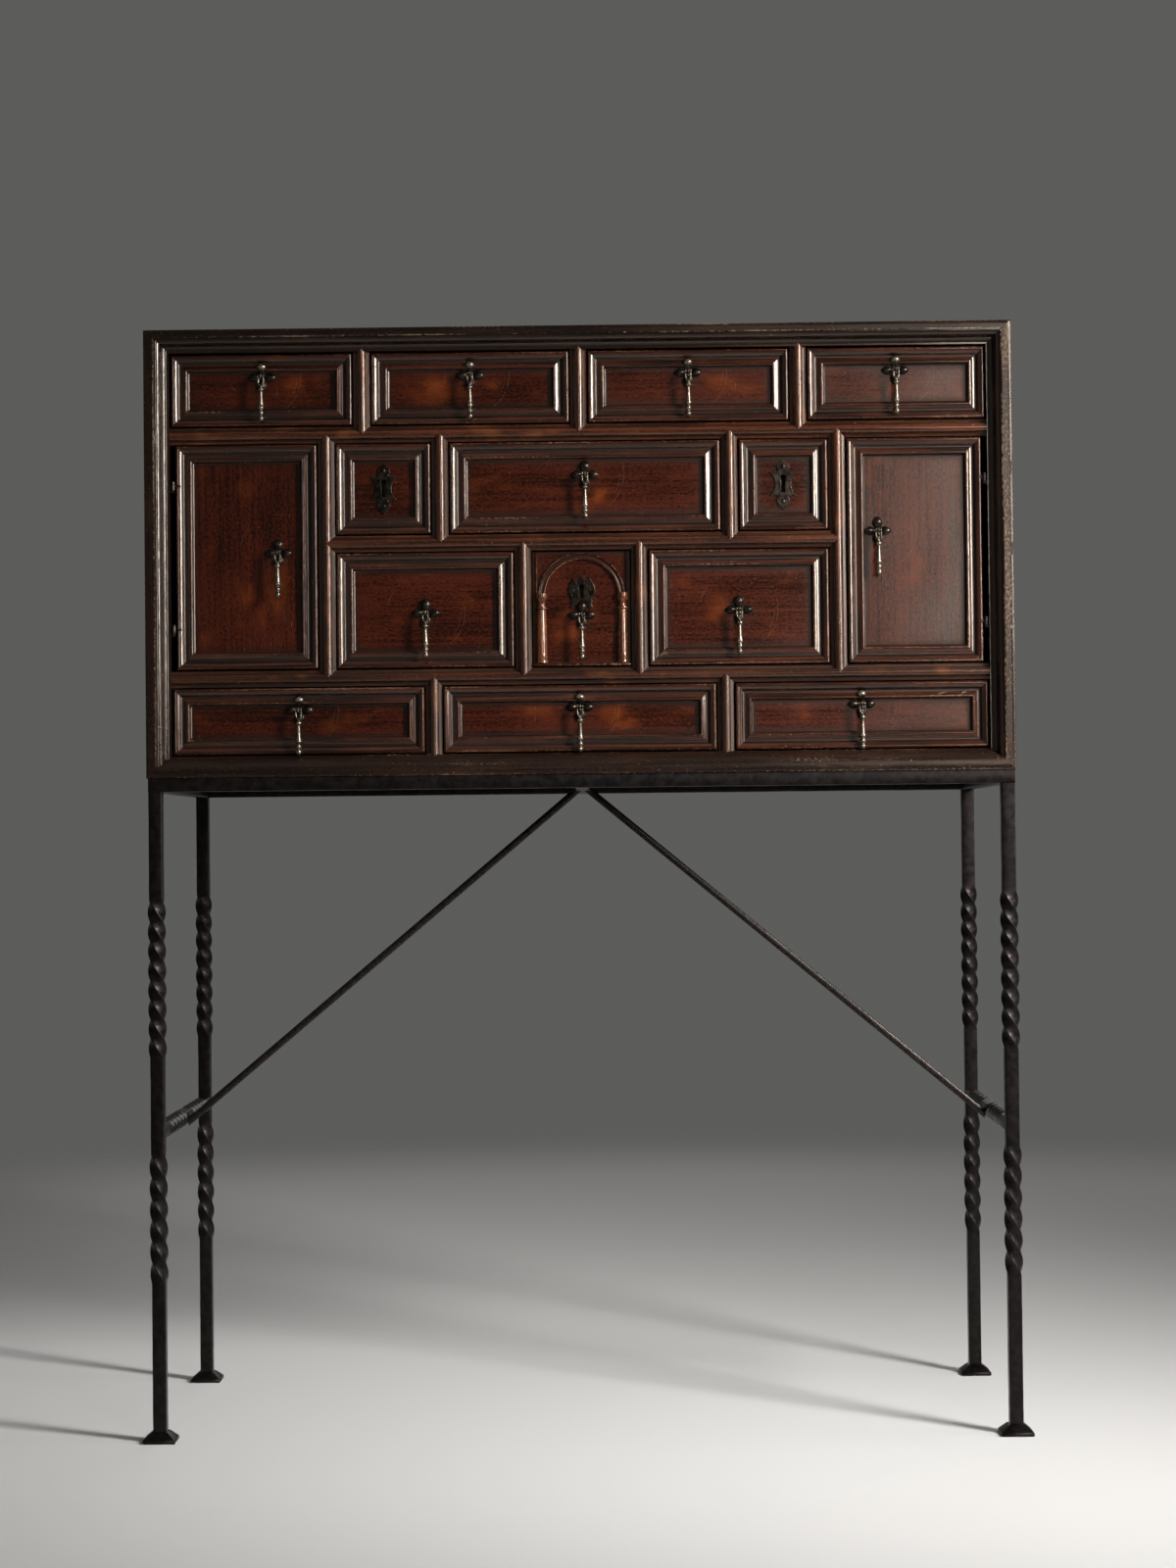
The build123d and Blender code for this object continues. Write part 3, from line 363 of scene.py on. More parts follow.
def own_grain():
    """A shift on the grain map, so that no two pieces are cut from the same place."""
    return Vector((rng.uniform(0, 9), rng.uniform(0, 9)))


def skinned(work, rings, closed=False):
    """Join rings of vertices into a skin that faces outwards; closed rings need no ends."""
    faces = [] if closed else [work.faces.new(rings[0]), work.faces.new(reversed(rings[-1]))]
    for ring, after in zip(rings, rings[1:] + (rings[:1] if closed else [])):
        for place, vert in enumerate(ring):
            beside = (place + 1) % len(ring)
            faces.append(work.faces.new((ring[beside], vert, after[place], after[beside])))
    bmesh.ops.recalc_face_normals(work, faces=faces)
    return faces


def unroll(work, faces, places):
    """Lay faces on the grain map, each of their vertices at its own place."""
    grain = work.loops.layers.uv["grain"]
    for face in faces:
        for loop in face.loops:
            loop[grain].uv = places[loop.vert]


def square_ends(across):
    return 0.0, 0.0


def straight(origin, run, across):
    """How a profile point is laid along a straight run."""
    start = Vector(origin)
    return lambda along, s, h: start + run * along + across * s + FORWARD * h


def strip(work, profile, lay, length, wobble, chip=0.0, ends=square_ends, pitch=BOARD_PITCH,
          paint=None):
    """Sweep a profile of (across, out, wear) points along a run and close it.

    lay places a point, ends gives how far each profile point stops short of the run's two
    ends, and paint gives the soiling and painted shade, and the rubbing, at a place.
    """
    wear, grime_and_shade, rub = (work.verts.layers.float[name] for name in PAINTS)
    shift = own_grain()
    count = max(2, round(length / pitch))
    girth = [0.0]
    for (s0, h0, _), (s1, h1, _) in zip(profile, profile[1:]):
        girth.append(girth[-1] + math.hypot(s1 - s0, h1 - h0))
    rings, flat = [], {}
    for step in range(count + 1):
        ring = []
        for (s, h, worn), v in zip(profile, girth):
            low, high = ends(s)
            along = low + (length - low - high) * step / count
            if h > 0:
                seed = lay(along, s, h) + Vector((shift.x, 0, shift.y))
                h += wobble * noise.noise(seed * WOBBLE_GRAIN)
                bite = noise.noise(seed * CHIP_GRAIN) - CHIP_FROM
                if worn > CHIP_WEAR and bite > 0:
                    h -= bite * chip * worn
            vert = work.verts.new(lay(along, s, h))
            vert[wear] = worn
            if paint:
                vert[grime_and_shade], vert[rub] = paint(vert.co)
            flat[vert] = Vector((along, v)) + shift
            ring.append(vert)
        rings.append(ring)
    unroll(work, skinned(work, rings), flat)


def finished(work, name, material, body, node, sharp=WOOD_SHARP):
    """Turn the mesh under construction into a piece."""
    mesh = bpy.data.meshes.new(name)
    work.to_mesh(mesh)
    work.free()
    mesh.shade_smooth()
    mesh.set_sharp_from_angle(angle=math.radians(sharp))
    return fixed(mesh, name, material, body, node)


def fixed(mesh, name, material, body, node):
    """A piece that rides on its body and stands for a solid of the frame."""
    mesh.materials.clear()
    mesh.materials.append(material)
    piece = shown(mesh, name)
    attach(piece, body)
    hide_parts(node)
    return piece


def case_section(thickness, depth, rebated, handled_and_sheen):
    """Section of a case board: across from its outer face, out from its rear edge.

    The last argument is how pale the front lip of a board is painted: wear that hands have
    rubbed, and on the right board painted sheen as well.
    """
    front = [(0, depth - ARRIS, 0.75), (0.4 * ARRIS, depth - 0.4 * ARRIS, 1.0),
             (ARRIS, depth, 0.75)]
    if rebated:
        lip = thickness - RIM_W
        front += [(lip / 2, depth, handled_and_sheen), (lip, depth, handled_and_sheen), (lip, depth - RIM_D, 0),
                  (thickness, depth - RIM_D, 0)]
    else:
        flat = thickness - BEVEL_H
        front += [(flat / 2, depth, 0.2), (flat - ARRIS, depth, 0.5),
                  (flat, depth - 0.4 * ARRIS, 0.7),
                  (thickness - ARRIS, depth - BEVEL_D + ARRIS, 0.4),
                  (thickness, depth - BEVEL_D, 0.8)]
    inner = thickness - BACK_REBATE
    back = [(thickness, BACK_T, 0), (inner, BACK_T, 0), (inner, 0, 0)]
    outer = [(0, 0, 0.6)] + [(0, depth * share, 0) for share in (0.15, 0.35, 0.55, 0.75, 0.93)]
    return outer + front + back


case_low, case_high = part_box("case_left_side")[0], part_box("case_right_side")[1]
case_w, case_d, case_h = case_high - case_low
case_front, case_rear = case_low.y, case_high.y
inner_x, floor_z, ceiling_z = case_high.x - SIDE_T, case_low.z + END_T, case_high.z - END_T
case_wood = waxed_walnut("case_walnut", *CASE_TONES, gloss=0.26, polish=1.38)
boards = (          # side, corner, run, inward, length, thickness, its neighbours', rebated
    ("top", (case_low.x, case_high.z), RIGHT, DOWN, case_w, END_T, SIDE_T, True),
    ("bottom", (case_low.x, case_low.z), RIGHT, UP, case_w, END_T, SIDE_T, False),
    ("left_side", (case_low.x, case_low.z), UP, RIGHT, case_h, SIDE_T, END_T, True),
    ("right_side", (case_high.x, case_low.z), UP, LEFT, case_h, SIDE_T, END_T, True),
)
for side, (x, z), run, inward, length, own_t, other_t, rebated in boards:
    work = joiner()
    section = case_section(own_t, case_d, rebated, HANDLED_AND_SHEEN if side == "right_side" else 0.0)
    slope = other_t / own_t
    strip(work, section, straight((x, case_rear, z), run, inward), length, BOARD_WOBBLE,
          BOARD_CHIP, lambda across: (across * slope, across * slope))
    finished(work, f"board_{side}", case_wood, CHEST, f"case_{side}")

# ---- Back, shelves and partitions -------------------------------------------------------
# Plain boards inside the case, planed and oiled. They only show when a drawer is drawn out.
DIVIDER_TONES = tint(52, 33, 23), tint(92, 60, 39), tint(120, 78, 48), tint(140, 105, 75)


def solid_finished(node, material):
    """Give a solid of the frame, which shows as it is, its finish."""
    solid = frame["nodes"][node]
    solid.data.materials.clear()
    solid.data.materials.append(material)


for coordinates, nodes in (("x", ("case_back", "shelves")), ("y", ("partitions",))):
    plain_wood = waxed_walnut(f"divider_walnut_{coordinates}", *DIVIDER_TONES, gloss=0.6,
                              coordinates=coordinates)
    for node in nodes:
        solid_finished(node, plain_wood)

# ---- Case mouldings ---------------------------------------------------------------------
# Three runs of moulding planed in walnut, mitred above and let into the rebate of the case:
# a quirk, an ovolo, a step and a cove down to the inner edge.
QUIRK_W, QUIRK_D = 1.5 * MM, 2.5 * MM
OVOLO_W, OVOLO_D = 6.5 * MM, 6 * MM
STEP_W, STEP_D = 8.0 * MM, 10 * MM
COVE_W, COVE_D = 7 * MM, 6 * MM
RIM_LIP = ((RIM_W - 0.3 * MM, 2 * MM, 0.5), (RIM_W, 1.2 * MM, 0.3), (RIM_W, 0, 0))
RIM_EASE, RIM_WOBBLE, RIM_CHIP = 0.2 * MM, 0.2 * MM, 1.2 * MM


def rim_section():
    """Section of the case moulding, from the case inwards."""
    shoulder, step = RIM_D - QUIRK_D, RIM_D - STEP_D
    points = [(0, 0, 0), (0, RIM_D, 0.9), (QUIRK_W, RIM_D - RIM_EASE, 0.9),
              (QUIRK_W, shoulder, 0)]
    for turn in (0.1, 0.25, 0.4, 0.55, 0.7, 0.85, 1.0):
        angle = turn * math.pi / 2
        points.append((QUIRK_W + OVOLO_W * math.sin(angle),
                       shoulder - OVOLO_D * (1 - math.cos(angle)), 0.6 * (1 - turn)))
    points.append((STEP_W, step, 0.5))
    for turn in (0.15, 0.3, 0.45, 0.6, 0.75, 0.9, 1.0):
        angle = turn * math.pi / 2
        points.append((STEP_W + COVE_W * (1 - math.cos(angle)),
                       step - COVE_D * math.sin(angle), 0.1))
    return points + [*RIM_LIP]


rim_x, rim_z = inner_x + RIM_W, ceiling_z + RIM_W
rim_y = case_front + RIM_D
rim_foot = floor_z - RIM_W * END_T / SIDE_T
work = joiner()
for origin, run, inward, length, ends in (
        ((-rim_x, rim_y, rim_foot), UP, RIGHT, rim_z - rim_foot,
         lambda s: (s * END_T / SIDE_T, s)),
        ((-rim_x, rim_y, rim_z), RIGHT, DOWN, 2 * rim_x, lambda s: (s, s)),
        ((rim_x, rim_y, rim_z), DOWN, LEFT, rim_z - rim_foot,
         lambda s: (s, s * END_T / SIDE_T))):
    strip(work, rim_section(), straight(origin, run, inward), length, RIM_WOBBLE, RIM_CHIP,
          ends, FINE_PITCH)
rim_wood = waxed_walnut("rim_walnut", *CASE_TONES, gloss=0.14, polish=1.55, grain_lines=0.6)
finished(work, "rim_mouldings", rim_wood, CHEST, "case_mouldings")

# ---- Facings ----------------------------------------------------------------------------
# Half-round walnut beads nailed to the front edges of the shelves and partitions. Each ends
# in a point that sits in a bird's-mouth notch of the bead it meets.
FACING_W, FACING_BASE, FACING_EDGE = 18 * MM, 3 * MM, 2 * MM
FACING_SEAT = 25 * MM
# The last is how much darker the beads are painted at the bottom of the case than at the top.
FACING_WOBBLE, FACING_CHIP, FACING_LOW_DARKENING = 0.3 * MM, 1.2 * MM, 0.75
BEAD_R, BEAD_LIFT = 5.5 * MM, 0.25 * MM
RIM_REACH = 6 * MM
ROW_HEIGHTS = (77 * MM, 131 * MM, 104 * MM)
CUPBOARD_X = (-280 * MM, 288 * MM)
UPRIGHTS = {"lower": (-162.5, 161.5), "third": (-62.0, 67.0), "second": (-153.5, 168.5),
            "upper": (-240.0, 1.5, 245.5)}
FACING_TONES = tint(36, 16, 9), tint(80, 40, 21), tint(146, 86, 42), tint(166, 116, 76)


def bead_section(lift):
    half, base = FACING_W / 2, FACING_BASE + lift
    # The feet of the bead carry negative wear: the grooves beside it are painted dark, painted
    # shade and soiling.
    points = [(-half, 0, 0), (-half, FACING_EDGE + lift, 0.2), (-BEAD_R, base, -1.0)]
    for step in range(1, 10):
        angle = math.pi * step / 10
        points.append((-BEAD_R * math.cos(angle), base + BEAD_R * math.sin(angle),
                       0.6 * math.sin(angle) ** 4))
    return points + [(BEAD_R, base, -1.0), (half, FACING_EDGE + lift, 0.2), (half, 0, 0)]


def facing(work, upright, middle, low, high, reach_low, reach_high, lift):
    """One bead between low and high, with a point of its own reach at each end."""
    seat, start = case_front + FACING_SEAT, low - reach_low
    if upright:
        lay = straight((middle, seat, start), UP, LEFT)
    else:
        lay = straight((start, seat, middle), RIGHT, UP)

    def pointed(s):
        share = abs(s) / (FACING_W / 2)
        return reach_low * share, reach_high * share

    # The beads are painted darker towards the bottom of the case.
    def darker_below(place):
        return FACING_LOW_DARKENING * (shelf_1 - place.z) / (shelf_1 - floor_z), 0.0

    strip(work, bead_section(lift), lay, high - low + reach_low + reach_high, FACING_WOBBLE,
          FACING_CHIP, pointed, FINE_PITCH, darker_below)


facing_wood = waxed_walnut("facing_walnut", *FACING_TONES, gloss=0.14, polish=1.55,
                           grain_lines=0.6, mottle=0.4)
half = FACING_W / 2
shelf_3 = floor_z + ROW_HEIGHTS[0] + half
shelf_2 = shelf_3 + ROW_HEIGHTS[1] + FACING_W
shelf_1 = shelf_2 + ROW_HEIGHTS[2] + FACING_W
work = joiner()
for middle in (shelf_1, shelf_3):
    facing(work, False, middle, -inner_x, inner_x, RIM_REACH, RIM_REACH, 0)
for x in CUPBOARD_X:
    facing(work, True, x, shelf_3 + half, shelf_1 - half, half, half, BEAD_LIFT)
facing(work, False, shelf_2, CUPBOARD_X[0] + half, CUPBOARD_X[1] - half, half, half, 2 * BEAD_LIFT)
for row, low, high, reach_low, reach_high in (
        ("upper", shelf_1 + half, ceiling_z, half, RIM_REACH),
        ("second", shelf_2 + half, shelf_1 - half, half, half),
        ("third", shelf_3 + half, shelf_2 - half, half, half),
        ("lower", floor_z, shelf_3 - half, RIM_REACH, half)):
    for x in UPRIGHTS[row]:
        facing(work, True, x * MM, low, high, reach_low, reach_high, 3 * BEAD_LIFT)
finished(work, "facing_beads", facing_wood, CHEST, "facings")

# ---- Drawer fronts and doors ------------------------------------------------------------
# A walnut board with a mitred moulding planted round it: a high ridge near the edge, an ogee,
# a groove and an inner bead. Along the inside of the moulding the board is painted darker,
# soiling and painted shade, and the moulding's grooves are painted dark as shade; soiling has
# gathered round the pull, and the drop has scratched arcs where it swings.
PANEL_BACK, FRONT_T, FRAME_W = 27 * MM, 14 * MM, 20 * MM
FRONT_LIFT, FRONT_EASE = 1.2 * MM, 0.5 * MM
# Across and out in millimetres, then wear; a negative wear marks a groove that is painted dark:
# painted shade, and soiling.
FRAME_POINTS = (
    (0, 0, 0), (0, 5.0, 0.2), (0.4, 6.4, 0.6), (1.2, 7.6, 0.9), (2.1, 8.0, 0.7), (3.1, 7.85, 0.3),
    (4.2, 7.4, 0), (5.3, 6.8, 0), (6.4, 6.1, 0), (7.3, 5.3, -0.2), (8.1, 4.2, -0.6),
    (8.8, 3.3, -1.0), (9.6, 3.0, -1.0), (10.6, 3.0, -0.7), (11.6, 3.25, -0.2), (12.8, 3.75, 0),
    (14.0, 4.4, 0.1), (15.2, 5.0, 0.4), (16.2, 5.3, 0.75), (17.0, 5.2, 0.7), (17.7, 4.7, 0.3),
    (18.3, 3.7, 0), (18.8, 2.3, -0.5), (19.2, 1.2, -1.0), (20.0, 0.7, -0.8), (20.0, 0, 0))
FRONT_TONES = tint(28, 9, 4), tint(68, 26, 14), tint(122, 58, 24), tint(138, 98, 72)
FRAME_TONES = tint(24, 10, 6), tint(62, 30, 19), tint(96, 50, 30), tint(152, 118, 90)
PANEL_WOBBLE, FRAME_WOBBLE, FRAME_CHIP = 0.35 * MM, 0.3 * MM, 0.9 * MM
# How dark and how far in the board is painted along the moulding: soiling and painted shade.
EDGE_DIRT_AND_SHADE, EDGE_REACH = 0.9, 3.5 * MM
PULL_DIRT, PULL_REACH, PULL_DIRT_LOW = 0.6, 14 * MM, 8 * MM
PATCH_STRETCH = 1.5
RUBBED = {          # patches by front: place from the pull, strength and reach
    "upper_1": ((46, -8, 0.8, 20),), "upper_2": ((-36, -8, 0.9, 14), (24, -12, 0.8, 10)),
    "upper_3": ((-34, -10, 0.5, 14), (40, -16, 0.4, 12)),
    "upper_4": ((28, -18, 0.6, 12), (-34, -12, 0.4, 12)),
    "second_2": ((15, -22, 1.3, 10), (-30, -26, 0.5, 14)), "third_1": ((-34, -6, 0.4, 16),),
    "third_3": ((-26, 14, 0.5, 16), (34, -8, 0.4, 14)), "door_left": ((-20, -40, 0.7, 22),),
    "lower_1": ((62, -10, 0.7, 14),), "lower_2": ((46, -12, 0.9, 14), (-40, -4, 0.5, 16)),
    "lower_3": ((-52, -10, 0.8, 14), (40, -14, 0.6, 14)),
    "third_2": ((-16, -22, 0.9, 14), (22, -6, 0.5, 10))}
ARCHED = "third_2"
LOCKED = {"second_1": 29.4 * MM, "second_3": 29.4 * MM, ARCHED: 0.0}
PIN_RISE, ARCH_KEY_RISE = 2.2 * MM, 26.5 * MM
KEYHOLE_H = 20 * MM, 16 * MM
KEYHOLE_R, KEYHOLE_SLOT, KEYHOLE_STEPS = 3.2 * MM, 4.8 * MM, 16


def in_mm(points):
    """Points drawn in millimetres, in metres; the wear that follows a place stays as it is."""
    return [(across * MM, out * MM, *wear) for across, out, *wear in points]


def moulded(work, points, lay, length, ends=square_ends, pitch=FINE_PITCH):
    """Plane one of the fronts' small mouldings along a run."""
    strip(work, in_mm(points), lay, length, FRAME_WOBBLE, FRAME_CHIP, ends, pitch)


def board_section(width):
    """Section of a front board: two eased arrises and a face divided every few millimetres."""
    count = max(3, round(width / BOARD_PITCH))
    ease, arris = FRONT_EASE, FRONT_T - FRONT_EASE
    face = [(ease + (width - 2 * ease) * step / count, FRONT_T, 0) for step in range(count + 1)]
    return [(0, 0, 0), (0, arris, 0.4), *face, (width, arris, 0.4), (width, 0, 0)]


def panel(work, low, high, pull, patches, upright, border):
    """The board behind the moulding, painted darker along it, soiling and painted shade;
    soiling, rubbed patches and arcs are placed from the pull.
    """
    def paint(place):
        edge = min(place.x - low.x, high.x - place.x, place.z - low.z, high.z - place.z) - border
        # Darker along the inside of the moulding: soiling and painted shade. Round the pull, a
        # little below it, only soiling.
        dirt_and_shade, glow = EDGE_DIRT_AND_SHADE * math.exp(-max(edge, 0) / EDGE_REACH), 0.0
        if pull:
            x, z = place.x - pull[0], place.z - pull[1]
            dirt_and_shade += PULL_DIRT * math.exp(-(math.hypot(x, z + PULL_DIRT_LOW) / PULL_REACH) ** 2)
            for px, pz, strength, reach in patches:
                off = math.hypot((x - px * MM) / PATCH_STRETCH, z - pz * MM)
                glow += strength * math.exp(-(off / (reach * MM)) ** 2)
        return min(dirt_and_shade, 1.0), glow

    wide, tall, back = high.x - low.x, high.z - low.z, panel_y + FRONT_T
    if upright:
        width, length, lay = wide, tall, straight((high.x, back, low.z), UP, LEFT)
    else:
        width, length, lay = tall, wide, straight((low.x, back, low.z), RIGHT, UP)
    strip(work, board_section(width), lay, length, PANEL_WOBBLE, paint=paint)
    if pull:
        from_pull = work.loops.layers.uv["pull"]
        for face in work.faces:
            for loop in face.loops:
                loop[from_pull].uv = (loop.vert.co.x - pull[0], loop.vert.co.z - pull[1])


def framed(work, low, high):
    """Four mitred strips round the face of a front."""
    y, wide, tall = panel_y, high.x - low.x, high.z - low.z
    for corner, run, inward, length in (
            ((low.x, y, low.z), RIGHT, UP, wide), ((high.x, y, low.z), UP, LEFT, tall),
            ((high.x, y, high.z), LEFT, DOWN, wide), ((low.x, y, high.z), DOWN, RIGHT, tall)):
        moulded(work, FRAME_POINTS, straight(corner, run, inward), length, lambda s: (s, s))


def keyhole_points(height):
    """A round eye above a slot, as an outline round its own middle."""
    eye_z, half = height / 2 - KEYHOLE_R, KEYHOLE_SLOT / 2
    start = math.asin(half / KEYHOLE_R)
    turns = [start + (2 * math.pi - 2 * start) * step / KEYHOLE_STEPS
             for step in range(KEYHOLE_STEPS + 1)]
    eye = [(KEYHOLE_R * math.sin(turn), eye_z - KEYHOLE_R * math.cos(turn)) for turn in turns]
    return [(half, -height / 2), *eye, (-half, -height / 2)]


def settled(piece):
    """The mesh that a piece's modifiers make of it."""
    bpy.context.view_layer.update()
    evaluated = piece.evaluated_get(bpy.context.evaluated_depsgraph_get())
    return bpy.data.meshes.new_from_object(evaluated)


def carve(piece, outline, x, z, y_low, y_high):
    """Cut an outline, drawn in X and Z round its own middle, through a piece."""
    work = bmesh.new()
    skinned(work, [[work.verts.new((x + px, y, z + pz)) for px, pz in outline]
                   for y in (y_low, y_high)])
    cutter = shown(bpy.data.meshes.new("cutter"), "cutter")
    work.to_mesh(cutter.data)
    work.free()
    cut = piece.modifiers.new("cut", "BOOLEAN")
    cut.operation, cut.solver, cut.object = "DIFFERENCE", "EXACT", cutter
    mesh = settled(piece)
    piece.modifiers.clear()
    piece.data = mesh
    bpy.data.objects.remove(cutter)


def pull_of(part):
    """Middle of a front's pull in X and Z, from the top of its drop; None where it has none."""
    if f"drop_{part}" not in frame["bodies"]:
        return None
    low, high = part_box(f"drop_{part}")
    return (low.x + high.x) / 2, high.z - PIN_RISE


def key_of(part):
    """Middle of a front's keyhole in X and Z."""
    if part == ARCHED:
        x, z = pull_of(part)
        return x, z + ARCH_KEY_RISE
    low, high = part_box(f"fittings_{part}")
    return (low.x + high.x) / 2, low.z + LOCKED[part]


def front_box(body):
    """Corners of a front: the drawer's box without the sides' running edge below it."""
    low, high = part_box(body)
    lift = FRONT_LIFT if body.startswith("drawer") else 0.0
    return Vector((low.x, low.y, low.z + lift)), high


panel_y = case_front + PANEL_BACK
front_wood = waxed_walnut("front_walnut", *FRONT_TONES, gloss=0.17, polish=1.36,
                          grain_lines=0.3, arcs=True)
moulding_wood = waxed_walnut("moulding_walnut", *FRAME_TONES, gloss=0.14, polish=1.55,
                             grain_lines=0.75)
fronts = {body.removeprefix("drawer_"): body for body in frame["bodies"]
          if body.startswith(("drawer", "door"))}
for part, body in fronts.items():
    low, high = front_box(body)
    work = joiner()
    panel(work, low, high, pull_of(part), RUBBED.get(part, ()), body.startswith("door"),
          0.0 if part == ARCHED else FRAME_W)
    front = finished(work, f"front_{part}", front_wood, body, body)
    if part in LOCKED:
        carve(front, keyhole_points(KEYHOLE_H[part == ARCHED]), *key_of(part),
              panel_y - FRONT_T, panel_y + 2 * FRONT_T)
    if part != ARCHED:
        work = joiner()
        framed(work, low, high)
        finished(work, f"moulding_{part}", moulding_wood, body, body)

# ---- Arch of the middle drawer ----------------------------------------------------------
# An arch of two beads springs from a pair of turned half columns on a thin sill, with a
# slender bead round the spandrels. The columns are rubbed back to the orange of bare walnut.
ARCH_X, ARCH_R, ARCH_SPRING, ARCH_PITCH = 2.5 * MM, 45 * MM, 78 * MM, 3 * MM
SILL_H, COLUMN_H = 3.5 * MM, 78 * MM
# The band's middle groove carries negative wear and is painted darker: painted shade and soiling.
BAND_POINTS = (
    (-4.4, 0, 0), (-4.4, 2.0, 0.5), (-4.0, 2.9, 0.9), (-3.4, 3.3, 0.9), (-2.8, 2.9, 0.4),
    (-2.3, 2.2, -0.4), (-1.4, 1.9, 0), (-0.2, 1.9, 0.3), (0.8, 1.9, 0), (1.5, 2.2, -0.4),
    (1.9, 2.9, 0.4), (2.5, 3.4, 0.9), (3.1, 3.0, 0.9), (3.5, 1.9, 0.5), (3.5, 0, 0))
LISTEL_POINTS = ((0, 0, 0), (0, 1.4, 0.4), (0.6, 2.0, 0.9), (1.4, 2.0, 0.9), (2.0, 1.4, 0.4),
                 (2.0, 0, 0))
LISTEL_IN = 3 * MM
SILL_POINTS = ((0, 0, 0), (0, 6.2, 0.5), (0.8, 7.0, 0.9), (2.7, 7.0, 0.9), (3.5, 6.2, 0.5),
               (3.5, 0, 0))
COLUMN_POINTS = (
    (0, 6.5), (0.4, 7.0), (3.4, 7.0), (3.9, 6.6), (4.3, 6.05), (5.4, 6.05), (5.9, 6.6),
    (6.4, 7.0), (7.4, 7.0), (7.9, 6.6), (8.5, 6.3), (12, 6.4), (22, 6.3), (36, 6.0), (50, 5.5),
    (59.4, 5.1), (59.9, 5.8), (60.4, 6.8), (61.3, 7.0), (62.2, 6.8), (62.7, 5.8), (63.3, 4.8),
    (65.5, 4.6), (68.3, 4.8), (69.5, 5.4), (70.8, 6.4), (71.8, 7.0), (74.2, 7.0), (74.6, 6.6),
    (75.1, 6.6), (75.5, 7.0), (77.6, 7.0), (78, 6.6))
COLUMN_TONES = tint(52, 24, 12), tint(98, 50, 24), tint(142, 84, 38), tint(176, 126, 84)
COLUMN_SIDES, COLUMN_SHARP, TURNED_GRAIN = 24, 40, 220


def around(count):
    """Angles evenly spaced round a circle."""
    return [2 * math.pi * step / count for step in range(count)]


def turned(work, centre, axis, stations, sides, wear, closed=False, wobble=0.0):
    """Turn (along, radius) stations round an axis; closed joins the last one to the first."""
    paint = work.verts.layers.float["wear"]
    across = Vector((axis.y, axis.z, axis.x))
    aside = axis.cross(across)
    shift = own_grain()
    uneven = Vector((0, shift.x, 0))
    widest = max(radius for _, radius in stations)
    rings, flat = [], {}
    for along, radius in stations:
        ring = []
        for turn in around(sides):
            outward = across * math.cos(turn) + aside * math.sin(turn)
            spot = centre + axis * along + outward * radius
            swell = noise.noise(spot * TURNED_GRAIN + uneven)
            vert = work.verts.new(spot + outward * wobble * swell)
            vert[paint] = wear(radius / widest)
            flat[vert] = Vector((along, turn * widest)) + shift
            ring.append(vert)
        rings.append(ring)
    unroll(work, skinned(work, rings, closed), flat)


def round_arch(along, s, h):
    """How a profile point is laid along the round of the arch."""
    turn, radius = along / ARCH_R, ARCH_R + s
    return Vector((ARCH_X - radius * math.cos(turn), panel_y - h,
                   spring + radius * math.sin(turn)))


arch_body = fronts[ARCHED]
low, high = front_box(arch_body)
spring = low.z + ARCH_SPRING
capital_z = low.z + SILL_H + COLUMN_H
work = joiner()
moulded(work, BAND_POINTS, round_arch, math.pi * ARCH_R, pitch=ARCH_PITCH)
moulded(work, SILL_POINTS, straight((low.x, panel_y, low.z), RIGHT, UP), high.x - low.x)
for x, inward in ((low.x + LISTEL_IN, RIGHT), (high.x - LISTEL_IN, LEFT)):
    moulded(work, LISTEL_POINTS, straight((x, panel_y, capital_z), UP, inward),
            high.z - capital_z)
finished(work, "arch_band", moulding_wood, arch_body, arch_body)
column_wood = waxed_walnut("column_walnut", *COLUMN_TONES, gloss=0.14, polish=1.6, mottle=0.6)
work = joiner()
for side in (-1, 1):
    turned(work, Vector((ARCH_X + side * ARCH_R, panel_y, low.z + SILL_H)), UP,
           in_mm(COLUMN_POINTS), COLUMN_SIDES, lambda share: 1.1 * share - 0.75)
finished(work, "arch_columns", column_wood, arch_body, arch_body, COLUMN_SHARP)

# ---- Drawer boxes -----------------------------------------------------------------------
# Oiled boards: two sides dovetailed into the front, a back between them and a thin bottom
# that is nailed up above their lower edges. Left a dry, paler brown inside.
SIDE_DROP, BOX_T = 5 * MM, 8 * MM
BOTTOM_LIFT, BOTTOM_T, BOX_EASE, BOX_WEAR = 2 * MM, 6 * MM, 0.4 * MM, 0.35
TAIL_LAP, TAIL_PITCH, TAIL_SHARE, TAIL_FLARE = 5 * MM, 40 * MM, 0.55, 3 * MM
TAIL_PROUD = 0.12 * MM
EASE_STEPS, EASE_ROUND = 2, 0.6
X_AXIS, Y_AXIS = 0, 1


def prism(work, outline, x_low, x_high, grain_axis, ease):
    """A board cut to an outline in Y and Z, between two planes across X, with eased arrises."""
    wear, grain = work.verts.layers.float["wear"], work.loops.layers.uv["grain"]
    shift = own_grain()
    faces = skinned(work, [[work.verts.new((x, y, z)) for y, z in outline]
                           for x in (x_low, x_high)])
    before = set(work.faces) - set(faces)
    edges = list({edge for face in faces for edge in face.edges})
    bmesh.ops.bevel(work, geom=edges, offset=ease, segments=EASE_STEPS, profile=EASE_ROUND,
                    affect="EDGES", clamp_overlap=True)
    for face in set(work.faces) - before:
        flat = max(range(3), key=lambda axis: abs(face.normal[axis]))
        free = [axis for axis in range(3) if axis != flat]
        along = grain_axis if grain_axis in free else free[0]
        side = free[0] if free[1] == along else free[1]
        for loop in face.loops:
            loop[grain].uv = Vector((loop.vert.co[along], loop.vert.co[side])) + shift
            loop.vert[wear] = BOX_WEAR


